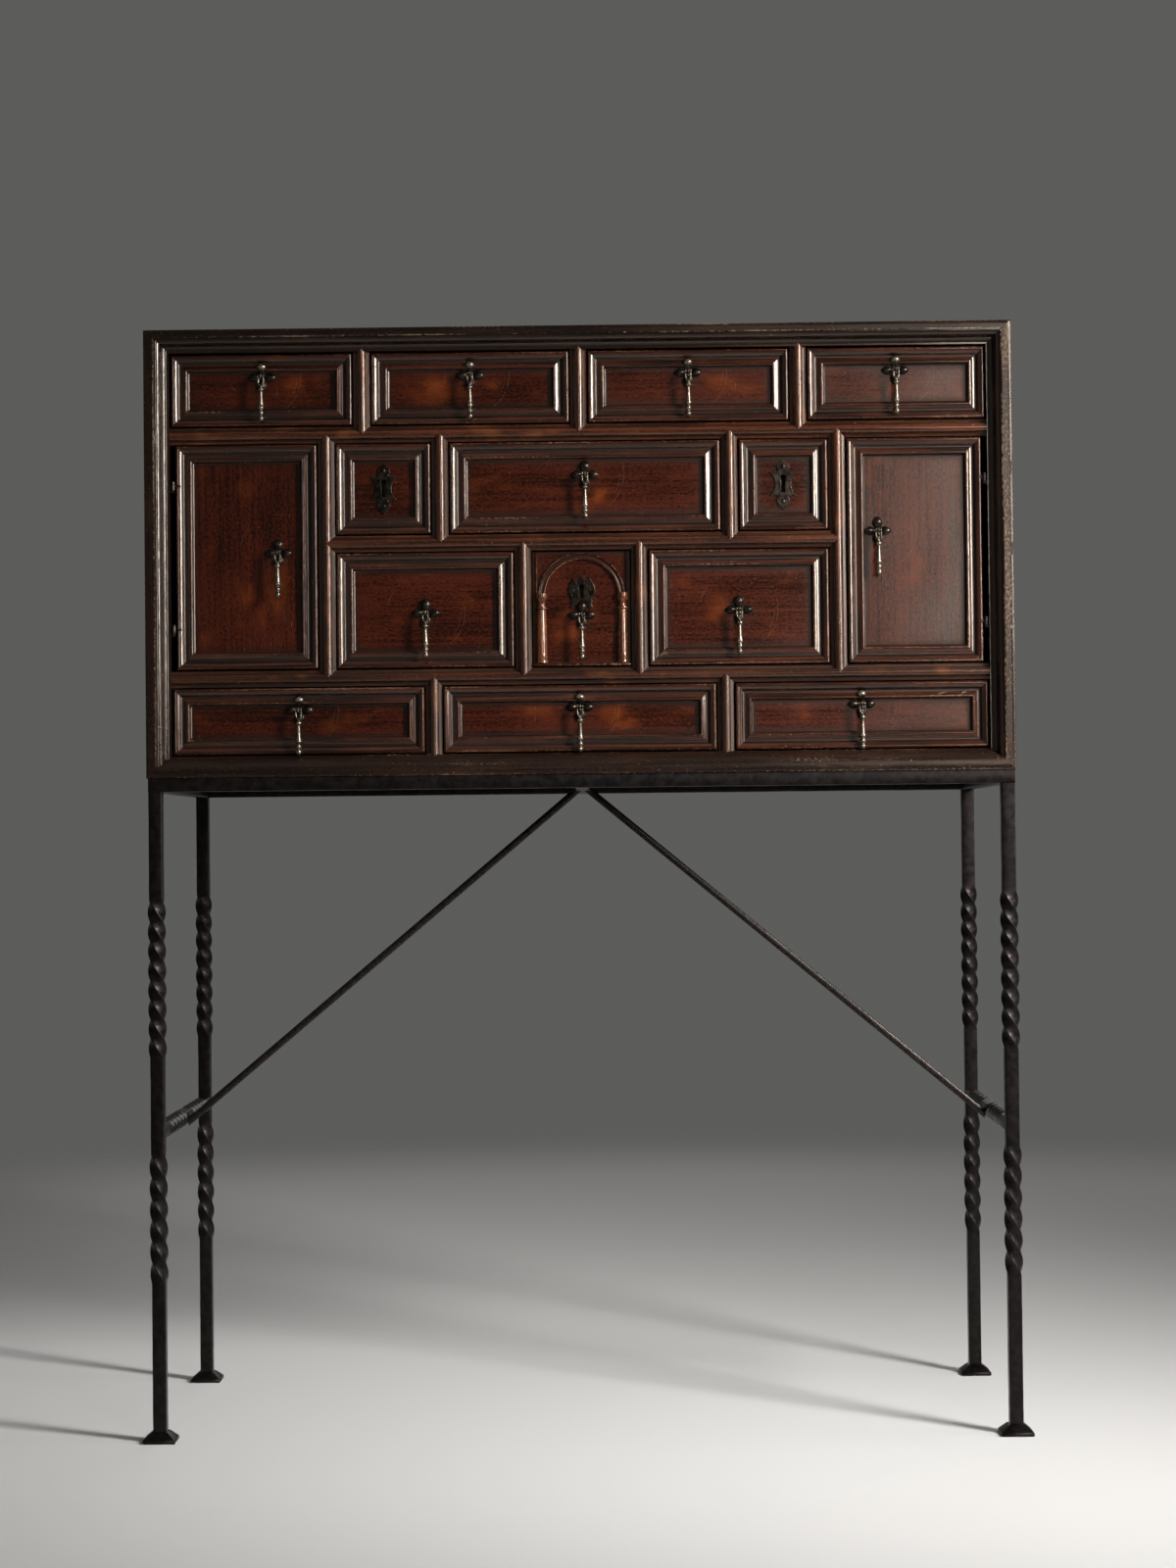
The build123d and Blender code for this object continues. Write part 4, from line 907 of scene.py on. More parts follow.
def slab(work, low, high, ease=BOX_EASE):
    """A square board or bar between two corners, its grain along X."""
    outline = [(low[1], low[2]), (high[1], low[2]), (high[1], high[2]), (low[1], high[2])]
    prism(work, outline, low[0], high[0], X_AXIS, ease)


def side_outline(low, high, end):
    """A drawer side, with dovetails on its front edge that widen towards the front."""
    shoulder, tip = panel_y + FRONT_T, panel_y + TAIL_LAP
    count = max(2, math.ceil((high - low) / TAIL_PITCH - 0.5))
    pitch = (high - low) / count
    wide = TAIL_SHARE * pitch / 2
    narrow = wide - TAIL_FLARE / 2
    points = [(shoulder, low)]
    for place in range(count):
        middle = low + (place + 0.5) * pitch
        points += [(shoulder, middle - narrow), (tip, middle - wide), (tip, middle + wide),
                   (shoulder, middle + narrow)]
    return points + [(shoulder, high), (end, high), (end, low)]


box_wood = waxed_walnut("box_walnut", *DIVIDER_TONES, gloss=0.62)
for part, body in fronts.items():
    if not body.startswith("drawer"):
        continue
    (x0, _, low), (x1, end, high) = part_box(body)
    high -= SIDE_DROP
    work = joiner()
    for edge, inward in ((x0 - TAIL_PROUD, 1), (x1 + TAIL_PROUD, -1)):
        near, far = sorted((edge, edge + inward * BOX_T))
        prism(work, side_outline(low, high, end), near, far, Y_AXIS, BOX_EASE)
    inner_0, inner_1, inner_end, floor = x0 + BOX_T, x1 - BOX_T, end - BOX_T, low + BOTTOM_LIFT
    slab(work, (inner_0, inner_end, low), (inner_1, end, high))
    slab(work, (inner_0, panel_y + FRONT_T, floor), (inner_1, inner_end, floor + BOTTOM_T))
    finished(work, f"box_{part}", box_wood, body, body)

# ---- Pulls ------------------------------------------------------------------------------
# Forged iron. A plate of four domed petals is nailed to the front; a staple through it holds
# a pin, and on the pin hangs a forked baluster drop. The domes and knobs are rubbed bright.
PETAL_R = (16.0, 14.9, 13.8, 12.8, 11.8, 10.6, 9.1, 7.1, 4.3)
HOOD_R = (16.0, 15.7, 15.1, 14.2, 13.1, 11.9, 10.3, 7.9, 4.3)
PETAL_STEPS = 8
DOME_OUT, DOME_LONG, DOME_WIDE, DOME_H, DOME_POWER = 9.2, 6.2, 4.4, 3.4, 0.7
HOOD_OUT, HOOD_LONG, HOOD_WIDE, HOOD_H, HOOD_POWER = 9.4, 6.4, 5.9, 4.6, 0.62
BOSS_H, BOSS_R = 1.2, 4
PLATE_T, PLATE_EDGE, PLATE_TURN_DOWN = 0.6, 0.9, 0.4
PLATE_WEAR, DOME_WEAR, RIM_WEAR, RIM_FROM = 0.05, 0.5, 0.45, 0.95
PLATE_RINGS = (0.18, 0.32, 0.44, 0.54, 0.63, 0.72, 0.81, 0.9, 0.97, 1.0)
LIFT_FROM, LIFT_TO, LIFT_FULL, LIFT_NEAR, LIFT_FADE = 6.5, 11.5, 4.0, 15, 10
STANDOFF, PIN_R, PIN_HALF, PIN_EASE = 13 * MM, 1.2 * MM, 3.9 * MM, 0.5 * MM
EYE_R, EYE_WIRE, EYE_STEPS = 2.3 * MM, 1.15 * MM, 16
WIRE_SIDES, PIN_SIDES, FORK_SIDES, PRONG_SIDES = 8, 12, 14, 10
EYE_WEAR, FORK_WEAR = 0.6, 0.5
NECK_OUT = (0, 3 * MM, 8 * MM, STANDOFF - EYE_R)
NECK_R = (1.8 * MM, 1.7 * MM, 1.4 * MM, 1.3 * MM)
FORK_EYE = ((1.9, 1.9), (2.1, 2.2), (3.4, 2.2), (3.6, 1.9))     # across and radius
DROP_POINTS = (
    (0, 1.5), (0.3, 2.6), (0.8, 3.2), (1.6, 3.4), (2.3, 3.2), (2.8, 2.6), (3.3, 2.0), (4.2, 1.9),
    (8, 2.05), (12, 2.3), (16, 2.6), (19.6, 2.85), (20.2, 3.0), (20.8, 3.3), (21.8, 3.45),
    (22.7, 3.3), (23.3, 2.7), (23.9, 2.15), (24.6, 2.05), (25.3, 2.2), (26.1, 2.7), (27.0, 3.0),
    (28.2, 3.0), (29.2, 2.7), (30.0, 2.1), (30.7, 1.9), (31.4, 2.3), (32.2, 2.8), (33.3, 3.05),
    (34.6, 2.95), (35.8, 2.4), (36.6, 1.6), (37.0, 0.7))
DROP_START, DROP_SIDES, DROP_WOBBLE = 13.5 * MM, 20, 0.05 * MM
PRONG_POINTS = (        # across, along and radius
    (2.75, 0.6, 1.15), (2.85, -2.0, 1.05), (2.85, -4.5, 1.05), (2.8, -6.8, 1.1),
    (2.5, -8.4, 1.15), (1.9, -9.6, 1.25), (1.0, -10.5, 1.4), (0.4, -11.6, 1.5), (0.2, -14.2, 1.5))
IRON_TONES = tint(24, 20, 17), tint(58, 50, 42), tint(176, 164, 144)
DROP_TONES = tint(52, 46, 38), tint(98, 90, 78), tint(214, 204, 184)
RUST, IRON_RELIEF, IRON_SHARP = tint(50, 30, 20), 0.14 * MM, 60


def forged_iron(name, dark, body, bright, gloss, rusty):
    """Dark iron, rubbed bright where the wear map says, with a little rust in the hollows."""
    iron = Finish(name, {"Metallic": 0.8, "IOR": 1.5})
    place, wear = iron.place(), iron.painted("wear")
    scale = iron.cloud(place, scale=140, detail=4)
    dents = iron.cloud(place, scale=420, detail=2)
    blooms = iron.between(iron.cloud(place, scale=60, detail=4), 0.52, 0.68)
    colour = iron.blend(iron.between(scale, 0.35, 0.65), dark, body)
    colour = iron.blend(blooms * rusty, colour, RUST)
    rubbed = iron.between(wear + (dents - 0.5) * 0.5, 0.45, 1.1)
    iron.feed("Base Color", iron.blend(rubbed * 0.8, colour, bright))
    iron.feed("Roughness", gloss + (scale - 0.5) * 0.2 - rubbed * 0.1)
    iron.raised(scale * 0.7 + dents * 0.3, IRON_RELIEF)
    return iron.material


def petal_radius(turn):
    """Outline of the plate, in millimetres, from the angle; the top petal is the widest."""
    quarter = math.pi / 2
    radii = HOOD_R if abs(turn - quarter) < quarter / 2 else PETAL_R
    away = abs((turn + quarter / 2) % quarter - quarter / 2) / (quarter / 2) * (len(radii) - 1)
    place = min(int(away), len(radii) - 2)
    return radii[place] + (radii[place + 1] - radii[place]) * (away - place)


def plate_height(x, z, lifts):
    """Height of the plate and of its underside: a dome on each petal, bent up over a moulding."""
    def dome(height, power, out, long, aside, wide):
        return height * max(0.0, 1 - (out / long) ** 2 - (aside / wide) ** 2) ** power

    height = PLATE_EDGE
    for dx, dz in ((1, 0), (-1, 0), (0, -1)):
        height += dome(DOME_H, DOME_POWER, x * dx + z * dz - DOME_OUT, DOME_LONG,
                       x * dz - z * dx, DOME_WIDE)
    height += dome(HOOD_H, HOOD_POWER, z - HOOD_OUT, HOOD_LONG, x, HOOD_WIDE)
    height += BOSS_H * max(0.0, 1 - math.hypot(x, z) / BOSS_R)
    bent = 0.0
    for (dx, dz), lift in lifts.items():
        share = min(max((x * dx + z * dz - LIFT_FROM) / (LIFT_TO - LIFT_FROM), 0), 1)
        bent += lift * share * share * (3 - 2 * share)
    return height + bent, max(bent - PLATE_T, 0.0)


def plate_lifts(part, body, x, z):
    """How far each petal that reaches a moulding is bent up, by the way that it points."""
    low, high = front_box(body)
    room = {(1, 0): high.x - x, (-1, 0): x - low.x, (0, 1): high.z - z, (0, -1): z - low.z}
    frame_w, lifts = FRAME_W / MM, {}
    for way, edge in room.items():
        tip = edge / MM - PETAL_R[0]
        if tip < frame_w and part != ARCHED:
            share = 1 if tip < LIFT_NEAR else (frame_w - tip) / LIFT_FADE
            lifts[way] = LIFT_FULL * share
    return lifts


def pull_plate(work, x, z, lifts):
    """The plate, ring by ring from its middle, and the rim that lies on the front."""
    wear = work.verts.layers.float["wear"]
    turns = around(4 * 2 * PETAL_STEPS)

    def vert_at(px, pz, height):
        return work.verts.new((x + px * MM, panel_y - height * MM, z + pz * MM))

    rings = []
    for share in PLATE_RINGS:
        ring = []
        for turn in turns:
            radius = petal_radius(turn) * share
            px, pz = radius * math.cos(turn), radius * math.sin(turn)
            height = plate_height(px, pz, lifts)[0] - (PLATE_TURN_DOWN if share == 1 else 0)
            vert = vert_at(px, pz, height)
            raised = PLATE_WEAR + (height - PLATE_EDGE) / HOOD_H * DOME_WEAR
            vert[wear] = raised if share < RIM_FROM else RIM_WEAR
            ring.append(vert)
        rings.append(ring)
    rim = []
    for turn in turns:
        px, pz = (petal_radius(turn) * axis for axis in (math.cos(turn), math.sin(turn)))
        rim.append(vert_at(px, pz, plate_height(px, pz, lifts)[1]))
    rings.append(rim)
    middle = vert_at(0, 0, plate_height(0, 0, lifts)[0])
    faces = [work.faces.new(reversed(rim))]
    for side in range(len(turns)):
        beside = (side + 1) % len(turns)
        faces.append(work.faces.new((middle, rings[0][side], rings[0][beside])))
        for ring, after in zip(rings, rings[1:]):
            faces.append(work.faces.new((ring[side], after[side], after[beside], ring[beside])))
    bmesh.ops.recalc_face_normals(work, faces=faces)


def rod(work, points, radii, sides=10, worn=0.3, closed=False):
    """A round bar through points, with its own radius at each."""
    wear = work.verts.layers.float["wear"]
    count = len(points)
    rings = []
    for place, (spot, radius) in enumerate(zip(points, radii)):
        before = points[place - 1] if closed or place else spot
        after = points[(place + 1) % count] if closed or place < count - 1 else spot
        way = (after - before).normalized()
        across = way.cross(FORWARD if abs(way.y) < 0.9 else UP).normalized()
        aside = way.cross(across)
        ring = []
        for turn in around(sides):
            outward = across * math.cos(turn) + aside * math.sin(turn)
            vert = work.verts.new(spot + outward * radius)
            vert[wear] = worn
            ring.append(vert)
        rings.append(ring)
    skinned(work, rings, closed)


def staple(work, x, z):
    """The staple through the plate: a neck and a round eye for the pin."""
    pin = Vector((x, panel_y - STANDOFF, z))
    eye = [pin + EYE_R * Vector((0, math.cos(turn), math.sin(turn)))
           for turn in around(EYE_STEPS)]
    rod(work, eye, [EYE_WIRE] * EYE_STEPS, WIRE_SIDES, EYE_WEAR, closed=True)
    rod(work, [Vector((x, panel_y - out, z)) for out in NECK_OUT], NECK_R)


def drop(work, x, z):
    """A pin, a fork that hangs on it and a turned baluster."""
    pin = Vector((x, panel_y - STANDOFF, z))
    flat = PIN_HALF - PIN_EASE
    rod(work, [pin + RIGHT * across for across in (-PIN_HALF, -flat, flat, PIN_HALF)],
        [PIN_R - PIN_EASE, PIN_R, PIN_R, PIN_R - PIN_EASE], PIN_SIDES, FORK_WEAR)
    for side in (-1, 1):
        rod(work, [pin + RIGHT * side * (across * MM) for across, _ in FORK_EYE],
            [radius * MM for _, radius in FORK_EYE], FORK_SIDES, FORK_WEAR)
        rod(work, [pin + Vector((side * across * MM, 0, along * MM))
                   for across, along, _ in PRONG_POINTS],
            [radius * MM for _, _, radius in PRONG_POINTS], PRONG_SIDES, FORK_WEAR)
    turned(work, pin + DOWN * DROP_START, DOWN, in_mm(DROP_POINTS), DROP_SIDES,
           lambda share: 0.3 + 0.4 * share, wobble=DROP_WOBBLE)


def fitted(work, name, body, node, material=None, sharp=WOOD_SHARP):
    """Turn the mesh under construction into an iron fitting."""
    return finished(work, name, material or fitting_iron, body, node, sharp)


fitting_iron = forged_iron("fitting_iron", *IRON_TONES, gloss=0.24, rusty=0.3)
drop_iron = forged_iron("drop_iron", *DROP_TONES, gloss=0.25, rusty=0.15)
for part, body in fronts.items():
    pull = pull_of(part)
    if pull is None:
        continue
    work = joiner()
    pull_plate(work, *pull, plate_lifts(part, body, *pull))
    staple(work, *pull)
    fitted(work, f"pull_{part}", body, f"fittings_{part}", sharp=IRON_SHARP)
    work = joiner()
    drop(work, *pull)
    fitted(work, f"hanging_{part}", f"drop_{part}", f"drop_{part}", drop_iron, IRON_SHARP)

# ---- Locks ------------------------------------------------------------------------------
# Three drawers lock: a pierced iron escutcheon nailed over the keyhole, a lock case screwed
# behind the front and a square bolt that rises into the shelf above.
SMALL_HALF = (
    (0, 27.2), (1.2, 26.4), (2.6, 25.0), (4.4, 23.2), (5.9, 21.3), (6.9, 19.4), (7.1, 17.6),
    (6.5, 15.8), (5.2, 14.3), (6.6, 12.9), (9.4, 12.4), (12.2, 12.9), (14.8, 13.4), (13.6, 11.8),
    (12.2, 9.6), (10.6, 7.0), (9.4, 4.2), (8.8, 1.6), (8.6, -0.8), (8.9, -3.6), (9.7, -6.6),
    (10.9, -9.2), (12.6, -11.4), (14.4, -13.2), (11.6, -13.0), (8.6, -13.1), (6.4, -13.7),
    (5.2, -14.7), (6.3, -16.2), (7.0, -17.9), (6.9, -19.8), (6.0, -22.0), (4.6, -24.2),
    (3.1, -26.2), (1.6, -28.0), (0, -29.4))
ARCH_HALF = (
    (0, 18.2), (0.8, 16.4), (1.8, 14.4), (3.4, 12.8), (5.6, 12.1), (7.6, 12.6), (8.9, 13.9),
    (9.8, 15.4), (10.2, 13.6), (10.9, 11.9), (12.4, 9.8), (13.7, 7.2), (14.6, 4.4), (15.0, 1.4),
    (14.8, -1.2), (14.0, -3.8), (12.6, -6.3), (11.0, -8.4), (11.7, -10.4), (11.6, -12.6),
    (11.2, -14.8), (11.8, -17.0), (12.4, -18.6), (10.6, -19.2), (8.8, -19.3), (7.4, -17.4),
    (6.4, -14.6), (4.8, -12.2), (2.6, -10.3), (0, -9.5))
SCUTCHEON_T, SCUTCHEON_EDGE, SCUTCHEON_FLAT = 1.6 * MM, 0.35 * MM, 0.05 * MM
FACE_WEAR, EDGE_WEAR, NAIL_WEAR = 0.1, 1.0, 0.45
SMALL_NAILS, SMALL_NAIL = ((0, 19.2), (0, -20.0)), (2.3 * MM, 1.5 * MM)
ARCH_NAILS, ARCH_NAIL = ((-9.4, 1.0), (9.4, 1.0)), (1.6 * MM, 1.1 * MM)
PIERCINGS = ((-8.0, 8.0, 1.0), (8.0, 8.0, 1.0), (-4.6, 9.6, 0.7), (4.6, 9.6, 0.7),
             (-9.6, -4.4, 1.0), (9.6, -4.4, 1.0))
PIERCING_SIDES = 12
LOCK_W, LOCK_D, LOCK_BELOW, LOCK_BACK = 40 * MM, 9 * MM, 16 * MM, 1.5 * MM
LOCK_GAP, LOCK_EASE = 0.4 * MM, 0.6 * MM


class Plan(Tree):
    """A Geometry Nodes tree with named inputs; it ends by setting the material."""

    def __init__(self, name, inputs):
        super().__init__(bpy.data.node_groups.new(name, "GeometryNodeTree"))
        self.name = name
        sockets = self.tree.interface
        for label, kind in inputs.items():
            sockets.new_socket(label, in_out="INPUT", socket_type=f"NodeSocket{kind}")
        sockets.new_socket("Geometry", in_out="OUTPUT", socket_type="NodeSocketGeometry")
        entry = self.tree.nodes.new("NodeGroupInput")
        self.given = {label: Wire(self.tree, entry.outputs[label]) for label in inputs}

    def ends_in(self, geometry, material):
        whole = self.node("GeometryNodeRealizeInstances", {0: geometry})
        dressed = self.node("GeometryNodeSetMaterial", {"Geometry": whole, "Material": material})
        self.tree.links.new(dressed.socket, self.tree.nodes.new("NodeGroupOutput").inputs[0])

    def grown(self, seed_mesh, values):
        """The mesh that the tree makes of a seed mesh with these values of its inputs."""
        seed = shown(seed_mesh, "seed")
        grower = seed.modifiers.new(self.name, "NODES")
        grower.node_group = self.tree
        for item in self.tree.interface.items_tree:
            if item.in_out == "INPUT" and item.name in values:
                grower[item.identifier] = values[item.name]
        mesh = settled(seed)
        bpy.data.objects.remove(seed)
        return mesh


def nail_plan():
    """A domed nail head on every point of the seed mesh, turned to face forward."""
    plan = Plan("nail_heads", {"Points": "Geometry", "Radius": "Float", "Height": "Float"})
    points, radius, height = plan.given.values()
    ball = plan.node("GeometryNodeMeshUVSphere", {"Segments": 14, "Rings": 8, "Radius": radius})
    squash = plan.node("ShaderNodeCombineXYZ", {"X": 1.0, "Y": height / radius, "Z": 1.0})
    sockets = {"Points": points, "Instance": ball, "Scale": squash}
    plan.ends_in(plan.node("GeometryNodeInstanceOnPoints", sockets), fitting_iron)
    return plan


def mirrored(half):
    """A whole outline from its right half."""
    return in_mm([*half, *[(-x, z) for x, z in reversed(half[1:-1])]])


def circle_outline(x, z, radius):
    """A small round piercing, placed and sized in millimetres."""
    return [(x * MM + radius * MM * math.cos(turn), z * MM + radius * MM * math.sin(turn))
            for turn in around(PIERCING_SIDES)]


def painted_wear(mesh, wear):
    """Give each vertex the wear of its place."""
    layer = mesh.attributes.new("wear", "FLOAT", "POINT")
    for vert, paint in zip(mesh.vertices, layer.data):
        paint.value = wear(vert.co)


def flat_plate(name, outlines):
    """A plate cut to the first outline and pierced by the others, with softened edges."""
    flat = bpy.data.curves.new(name, "CURVE")
    flat.dimensions, flat.fill_mode = "2D", "BOTH"
    flat.extrude, flat.bevel_depth = SCUTCHEON_T / 2 - SCUTCHEON_EDGE, SCUTCHEON_EDGE
    flat.bevel_resolution, flat.offset = 2, -SCUTCHEON_EDGE
    for outline in outlines:
        spline = flat.splines.new("POLY")
        spline.points.add(len(outline) - 1)
        for point, (x, z) in zip(spline.points, outline):
            point.co = (x, z, 0, 1)
        spline.use_cyclic_u = True
    holder = shown(flat, name)
    mesh = settled(holder)
    bpy.data.objects.remove(holder)
    face = SCUTCHEON_T / 2 - SCUTCHEON_FLAT
    painted_wear(mesh, lambda place: FACE_WEAR if abs(place.z) > face else EDGE_WEAR)
    return mesh


nails = nail_plan()
for part in LOCKED:
    arched, body, node = part == ARCHED, fronts[part], f"fittings_{part}"
    x, z = key_of(part)
    keyhole = keyhole_points(KEYHOLE_H[arched])
    outlines = [mirrored(ARCH_HALF if arched else SMALL_HALF), keyhole]
    if arched:
        outlines += [circle_outline(*piercing) for piercing in PIERCINGS]
    plate = flat_plate(f"plate_{part}", outlines)
    plate.transform(Matrix.Translation((x, panel_y - SCUTCHEON_T / 2, z))
                    @ Matrix.Rotation(math.radians(90), 4, "X"))
    fixed(plate, f"escutcheon_{part}", fitting_iron, body, node)
    places, (radius, height) = (ARCH_NAILS, ARCH_NAIL) if arched else (SMALL_NAILS, SMALL_NAIL)
    spots = bpy.data.meshes.new("spots")
    spots.from_pydata([(x + px * MM, panel_y - SCUTCHEON_T, z + pz * MM) for px, pz in places],
                      [], [])
    heads = nails.grown(spots, {"Radius": radius, "Height": height})
    heads.shade_smooth()
    painted_wear(heads, lambda place: NAIL_WEAR)
    fixed(heads, f"nails_{part}", fitting_iron, body, node)
    top, back = front_box(body)[1].z, panel_y + FRONT_T
    work = joiner()
    slab(work, (x - LOCK_W / 2, back, z - LOCK_BELOW),
         (x + LOCK_W / 2, back + LOCK_D, top - LOCK_GAP), LOCK_EASE)
    lock_case = fitted(work, f"lock_case_{part}", body, node)
    carve(lock_case, keyhole, x, z, back - MM, back + LOCK_D - LOCK_BACK)
bare_iron = forged_iron("bolt_iron", *IRON_TONES, gloss=0.45, rusty=0.5)
for part in LOCKED:
    solid_finished(f"bolt_{part}", bare_iron)

# ---- Door hinges ------------------------------------------------------------------------
# Each door hangs on two forged eyes driven into its edge, which drop over pins that stand on
# square arms driven into the side of the case.
PINTLE_R, RING_R, RING_H, RING_GAP = 1.5 * MM, 2.6 * MM, 10 * MM, 0.2 * MM
BORE_R, RING_EASE, SPIKE_EASE = PINTLE_R + 0.15 * MM, 0.5 * MM, 0.3 * MM
TANG, TANG_L, TANG_START, ARM_L = 2.4 * MM, 6 * MM, 2 * MM, 9 * MM
HINGE_INSET, HINGE_HALF, HINGE_Y = 45 * MM, 3 * MM, 7 * MM
PIN_PROUD, PIN_TAPER, PIN_END = 0.8 * MM, 0.5 * MM, 0.6
RING_SIDES, PINTLE_SIDES, RING_WEAR, PINTLE_WEAR = 16, 12, 0.4, 0.5
RING_STATIONS = (
    (0, BORE_R), (0, RING_R - RING_EASE), (RING_EASE, RING_R), (RING_H - RING_EASE, RING_R),
    (RING_H, RING_R - RING_EASE), (RING_H, BORE_R))
PIN_H = RING_H + RING_GAP + PIN_PROUD
PIN_STATIONS = ((0, PINTLE_R), (PIN_H - PIN_TAPER, PINTLE_R), (PIN_H, PIN_END * PINTLE_R))


def spike(work, ends, z_low, z_high):
    """A square spike that runs across, between two ends in X."""
    near, far = sorted(ends)
    slab(work, (near, hinge_y - TANG / 2, z_low), (far, hinge_y + TANG / 2, z_high), SPIKE_EASE)


hinge_y = panel_y - HINGE_Y
pintles = joiner()
for part, side in (("door_left", -1), ("door_right", 1)):
    low, high = front_box(part)
    eyes = joiner()
    x = (low.x if side < 0 else high.x) + side * HINGE_HALF
    for z in (low.z + HINGE_INSET, high.z - HINGE_INSET):
        bottom = z - RING_H / 2
        turned(eyes, Vector((x, hinge_y, bottom)), UP, RING_STATIONS, RING_SIDES,
               lambda share: RING_WEAR, closed=True)
        spike(eyes, (x - side * TANG_START, x - side * (HINGE_HALF + TANG_L)), z - TANG / 2,
              z + TANG / 2)
        seat = bottom - RING_GAP
        spike(pintles, (x - side * PINTLE_R, x + side * (HINGE_HALF + ARM_L)), seat - TANG, seat)
        turned(pintles, Vector((x, hinge_y, seat)), UP, PIN_STATIONS, PINTLE_SIDES,
               lambda share: PINTLE_WEAR)
    fitted(eyes, f"eyes_{part}", part, f"fittings_{part}")
fitted(pintles, "door_pintles", CHEST, "hinge_pintles")

# ---- Stand ------------------------------------------------------------------------------
# Square wrought-iron bars, blackened and waxed. Four legs, each twisted hot in two places,
# stand on splayed pads; twisted stretchers join them front to back, and two flat braces run
# from the cross bar of the top frame down to the stretchers.
BAR, BAR_EDGE = 15 * MM, 1.4 * MM
HAMMER, HAMMER_GRAIN = 0.35 * MM, 42.0
TWIST_PITCH, PLAIN_PITCH = 2.5 * MM, 9 * MM
CORNER_STEPS, STAND_SHARP = 3, 50
QUARTER = math.pi / 2
LEG_TWISTS = {"Lower Start": 175 * MM, "Lower Length": 140 * MM, "Lower Turn": -6 * QUARTER,
              "Upper Start": 423 * MM, "Upper Length": 172 * MM, "Upper Turn": -8 * QUARTER}
FOOT_RIM, FOOT_H, FOOT_TOP, FOOT_W, FOOT_EASE = 4 * MM, 11 * MM, 20 * MM, 36 * MM, 1.5 * MM
FOOT_RINGS = (      # height and width
    (0, FOOT_W - 1 * MM), (0.5 * MM, FOOT_W), (FOOT_RIM - 0.6 * MM, FOOT_W),
    (FOOT_RIM, FOOT_W - 0.8 * MM), (FOOT_H, FOOT_TOP), (FOOT_H + 1.5 * MM, BAR))
STRETCHER_Z, STRETCHER_PLAIN, STRETCHER_SEAT = 340 * MM, 32 * MM, 24 * MM
STRETCHER_TURN = -5 * QUARTER
BRACE_T, BRACE_W, BRACE_TOP_X, BRACE_EASE = 8 * MM, 11 * MM, 14 * MM, 1 * MM
BRACE_PITCH, BRACE_WOBBLE = 12 * MM, 0.3 * MM
STAND_TONES = tint(20, 17, 17), tint(34, 30, 29), tint(84, 77, 71)


def bar_plan():
    """A square bar along Z with up to two twisted stretches, soft edges and hammer marks."""
    labels = ("Length", "Width", "Edge", "Hammer", *LEG_TWISTS)
    plan = Plan("forged_bar", {"Points": "Geometry", "Rings": "Int",
                               **dict.fromkeys(labels, "Float")})
    given = plan.given
    width = given["Width"]
    top = plan.node("ShaderNodeCombineXYZ", {"Z": given["Length"]})
    line = plan.node("GeometryNodeCurvePrimitiveLine", {"Start": (0, 0, 0), "End": top})
    rings = plan.node("GeometryNodeResampleCurve", {"Curve": line, "Count": given["Rings"]})
    square = plan.node("GeometryNodeCurvePrimitiveQuadrilateral",
                       {"Width": width, "Height": width})
    soft = plan.node("GeometryNodeFilletCurve",
                     {"Curve": square, "Count": CORNER_STEPS, "Radius": given["Edge"]},
                     mode="POLY")
    divided = plan.node("GeometryNodeSubdivideCurve", {"Curve": soft, "Cuts": 1})
    body = plan.node("GeometryNodeCurveToMesh",
                     {"Curve": rings, "Profile Curve": divided, "Fill Caps": True})
    place = plan.node("GeometryNodeInputPosition")
    height = plan.node("ShaderNodeSeparateXYZ", {0: place}, 2)
    corner = plan.length(plan.vector("MULTIPLY", place, (1, 1, 0))) / width - 0.5
    worn = plan.node("GeometryNodeStoreNamedAttribute",
                     {"Geometry": body, "Name": "wear", "Value": corner * 4.4 - 0.25},
                     data_type="FLOAT", domain="POINT")
    angle = 0.0
    for stretch in ("Lower", "Upper"):
        share = (height - given[f"{stretch} Start"]) / given[f"{stretch} Length"]
        share = share.maths("MINIMUM", share.maths("MAXIMUM", share, 0.0), 1.0)
        angle = share * given[f"{stretch} Turn"] + angle
    twisted = plan.node("ShaderNodeVectorRotate", {"Vector": place, "Angle": angle},
                        rotation_type="Z_AXIS")
    marks = plan.node("ShaderNodeTexNoise",
                      {"Vector": twisted, "Scale": HAMMER_GRAIN, "Detail": 2.0}, 1)
    centred = plan.vector("SUBTRACT", marks, (0.5, 0.5, 0.5))
    shift = plan.node("ShaderNodeVectorMath", {0: centred, "Scale": given["Hammer"] * 2},
                      operation="SCALE")
    forged = plan.node("GeometryNodeSetPosition",
                       {"Geometry": worn, "Position": twisted, "Offset": shift})
    plan.ends_in(forged, stand_iron)
    return plan


stand_iron = forged_iron("stand_iron", *STAND_TONES, gloss=0.36, rusty=0.15)
bars = bar_plan()


def forged_bar(work, start, run, length, twists=None):
    """Add a bar that starts at a point and runs along an axis."""
    values = {"Length": length, "Width": BAR, "Edge": BAR_EDGE, "Hammer": HAMMER,
              "Rings": round(length / (TWIST_PITCH if twists else PLAIN_PITCH)),
              **{label: 0.0 if "Turn" in label else 1.0 for label in LEG_TWISTS},
              **(twists or {})}
    mesh = bars.grown(bpy.data.meshes.new("seed"), values)
    mesh.transform(Matrix.Translation(start) @ run.to_track_quat("Z", "Y").to_matrix().to_4x4())
    work.from_mesh(mesh)


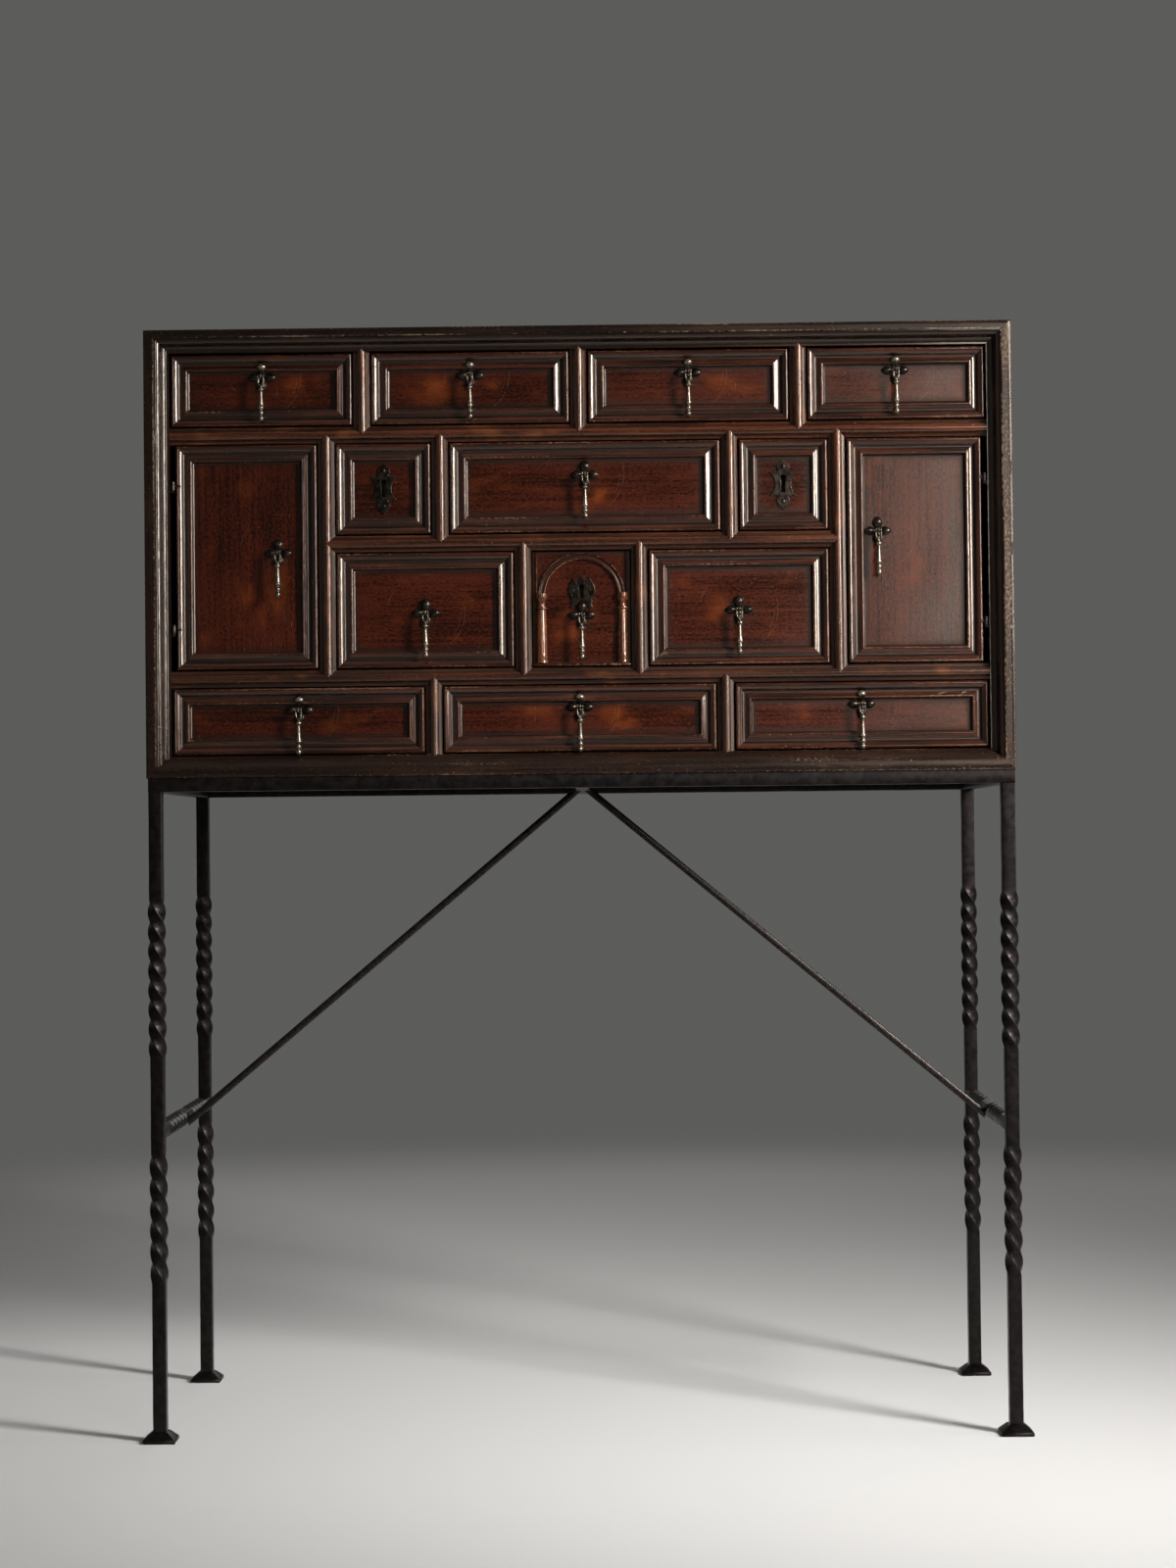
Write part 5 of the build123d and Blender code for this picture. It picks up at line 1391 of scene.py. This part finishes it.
def pad(work, x, y):
    """A foot: a square pad whose top slopes up to the leg."""
    rings = []
    for z, width in FOOT_RINGS:
        half, ring = width / 2, []
        for sx, sy, first in ((1, 1, 0), (-1, 1, 1), (-1, -1, 0), (1, -1, 1)):
            near = [(half, half - FOOT_EASE), (half - FOOT_EASE, half)]
            for px, py in (reversed(near) if first else near):
                ring.append(work.verts.new((x + sx * px, y + sy * py, z)))
        rings.append(ring)
    skinned(work, rings)


def forged_piece(work, name):
    """Turn the mesh under construction into a piece of the stand."""
    finished(work, name, stand_iron, CHEST, f"stand_{name}", STAND_SHARP)


legs_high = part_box("stand_legs")[1]
leg_x, leg_y, rail_z = legs_high.x - FOOT_W / 2, legs_high.y - FOOT_W / 2, legs_high.z
leg_twists = {label: value - (FOOT_H if "Start" in label else 0)
              for label, value in LEG_TWISTS.items()}
work = joiner()
for x in (-leg_x, leg_x):
    for y in (-leg_y, leg_y):
        forged_bar(work, Vector((x, y, FOOT_H)), UP, rail_z - FOOT_H, leg_twists)
        pad(work, x, y)
forged_piece(work, "legs")

work = joiner()
rail_mid = rail_z + BAR / 2
for y in (-leg_y, leg_y):
    forged_bar(work, Vector((-leg_x - BAR / 2, y, rail_mid)), RIGHT, 2 * leg_x + BAR)
for x in (-leg_x, 0, leg_x):
    forged_bar(work, Vector((x, -leg_y, rail_mid)), BACKWARD, 2 * leg_y)
forged_piece(work, "rails")

work = joiner()
span = leg_y - BAR / 2
run_l = span - STRETCHER_PLAIN - STRETCHER_SEAT
twists = {
    "Lower Start": STRETCHER_PLAIN, "Lower Length": run_l, "Lower Turn": STRETCHER_TURN,
    "Upper Start": span + STRETCHER_SEAT, "Upper Length": run_l, "Upper Turn": STRETCHER_TURN}
for x in (-leg_x, leg_x):
    forged_bar(work, Vector((x, -span, STRETCHER_Z)), BACKWARD, 2 * span, twists)
forged_piece(work, "stretchers")

work = joiner()
foot_x, rise = leg_x - BAR / 2, rail_z - STRETCHER_Z
slope = math.hypot(rise, foot_x - BRACE_TOP_X)
cut_top, cut_foot = BRACE_T * slope / rise, BRACE_T * slope / (foot_x - BRACE_TOP_X)
flat = BRACE_T - BRACE_EASE
section = [(0, 0, 0.5), (0, BRACE_W - BRACE_EASE, 0.5), (BRACE_EASE, BRACE_W, 0.6),
           (flat, BRACE_W, 0.6), (BRACE_T, BRACE_W - BRACE_EASE, 0.5), (BRACE_T, 0, 0.5)]
for side in (-1, 1):
    top, under, foot, below = (Vector((side * x, 0, z)) for x, z in (
        (BRACE_TOP_X, rail_z), (BRACE_TOP_X - cut_top, rail_z),
        (foot_x, STRETCHER_Z), (foot_x, STRETCHER_Z - cut_foot)))
    way = (foot - top).normalized()
    across = (way.cross(FORWARD) * side).normalized()
    lean_top, lean_foot = ((end - start).dot(way) / BRACE_T
                           for start, end in ((top, under), (foot, below)))
    strip(work, section, straight(top + BACKWARD * BRACE_W / 2, way, across),
          (foot - top).length, BRACE_WOBBLE, pitch=BRACE_PITCH,
          ends=lambda s: (s * lean_top, -s * lean_foot))
forged_piece(work, "braces")
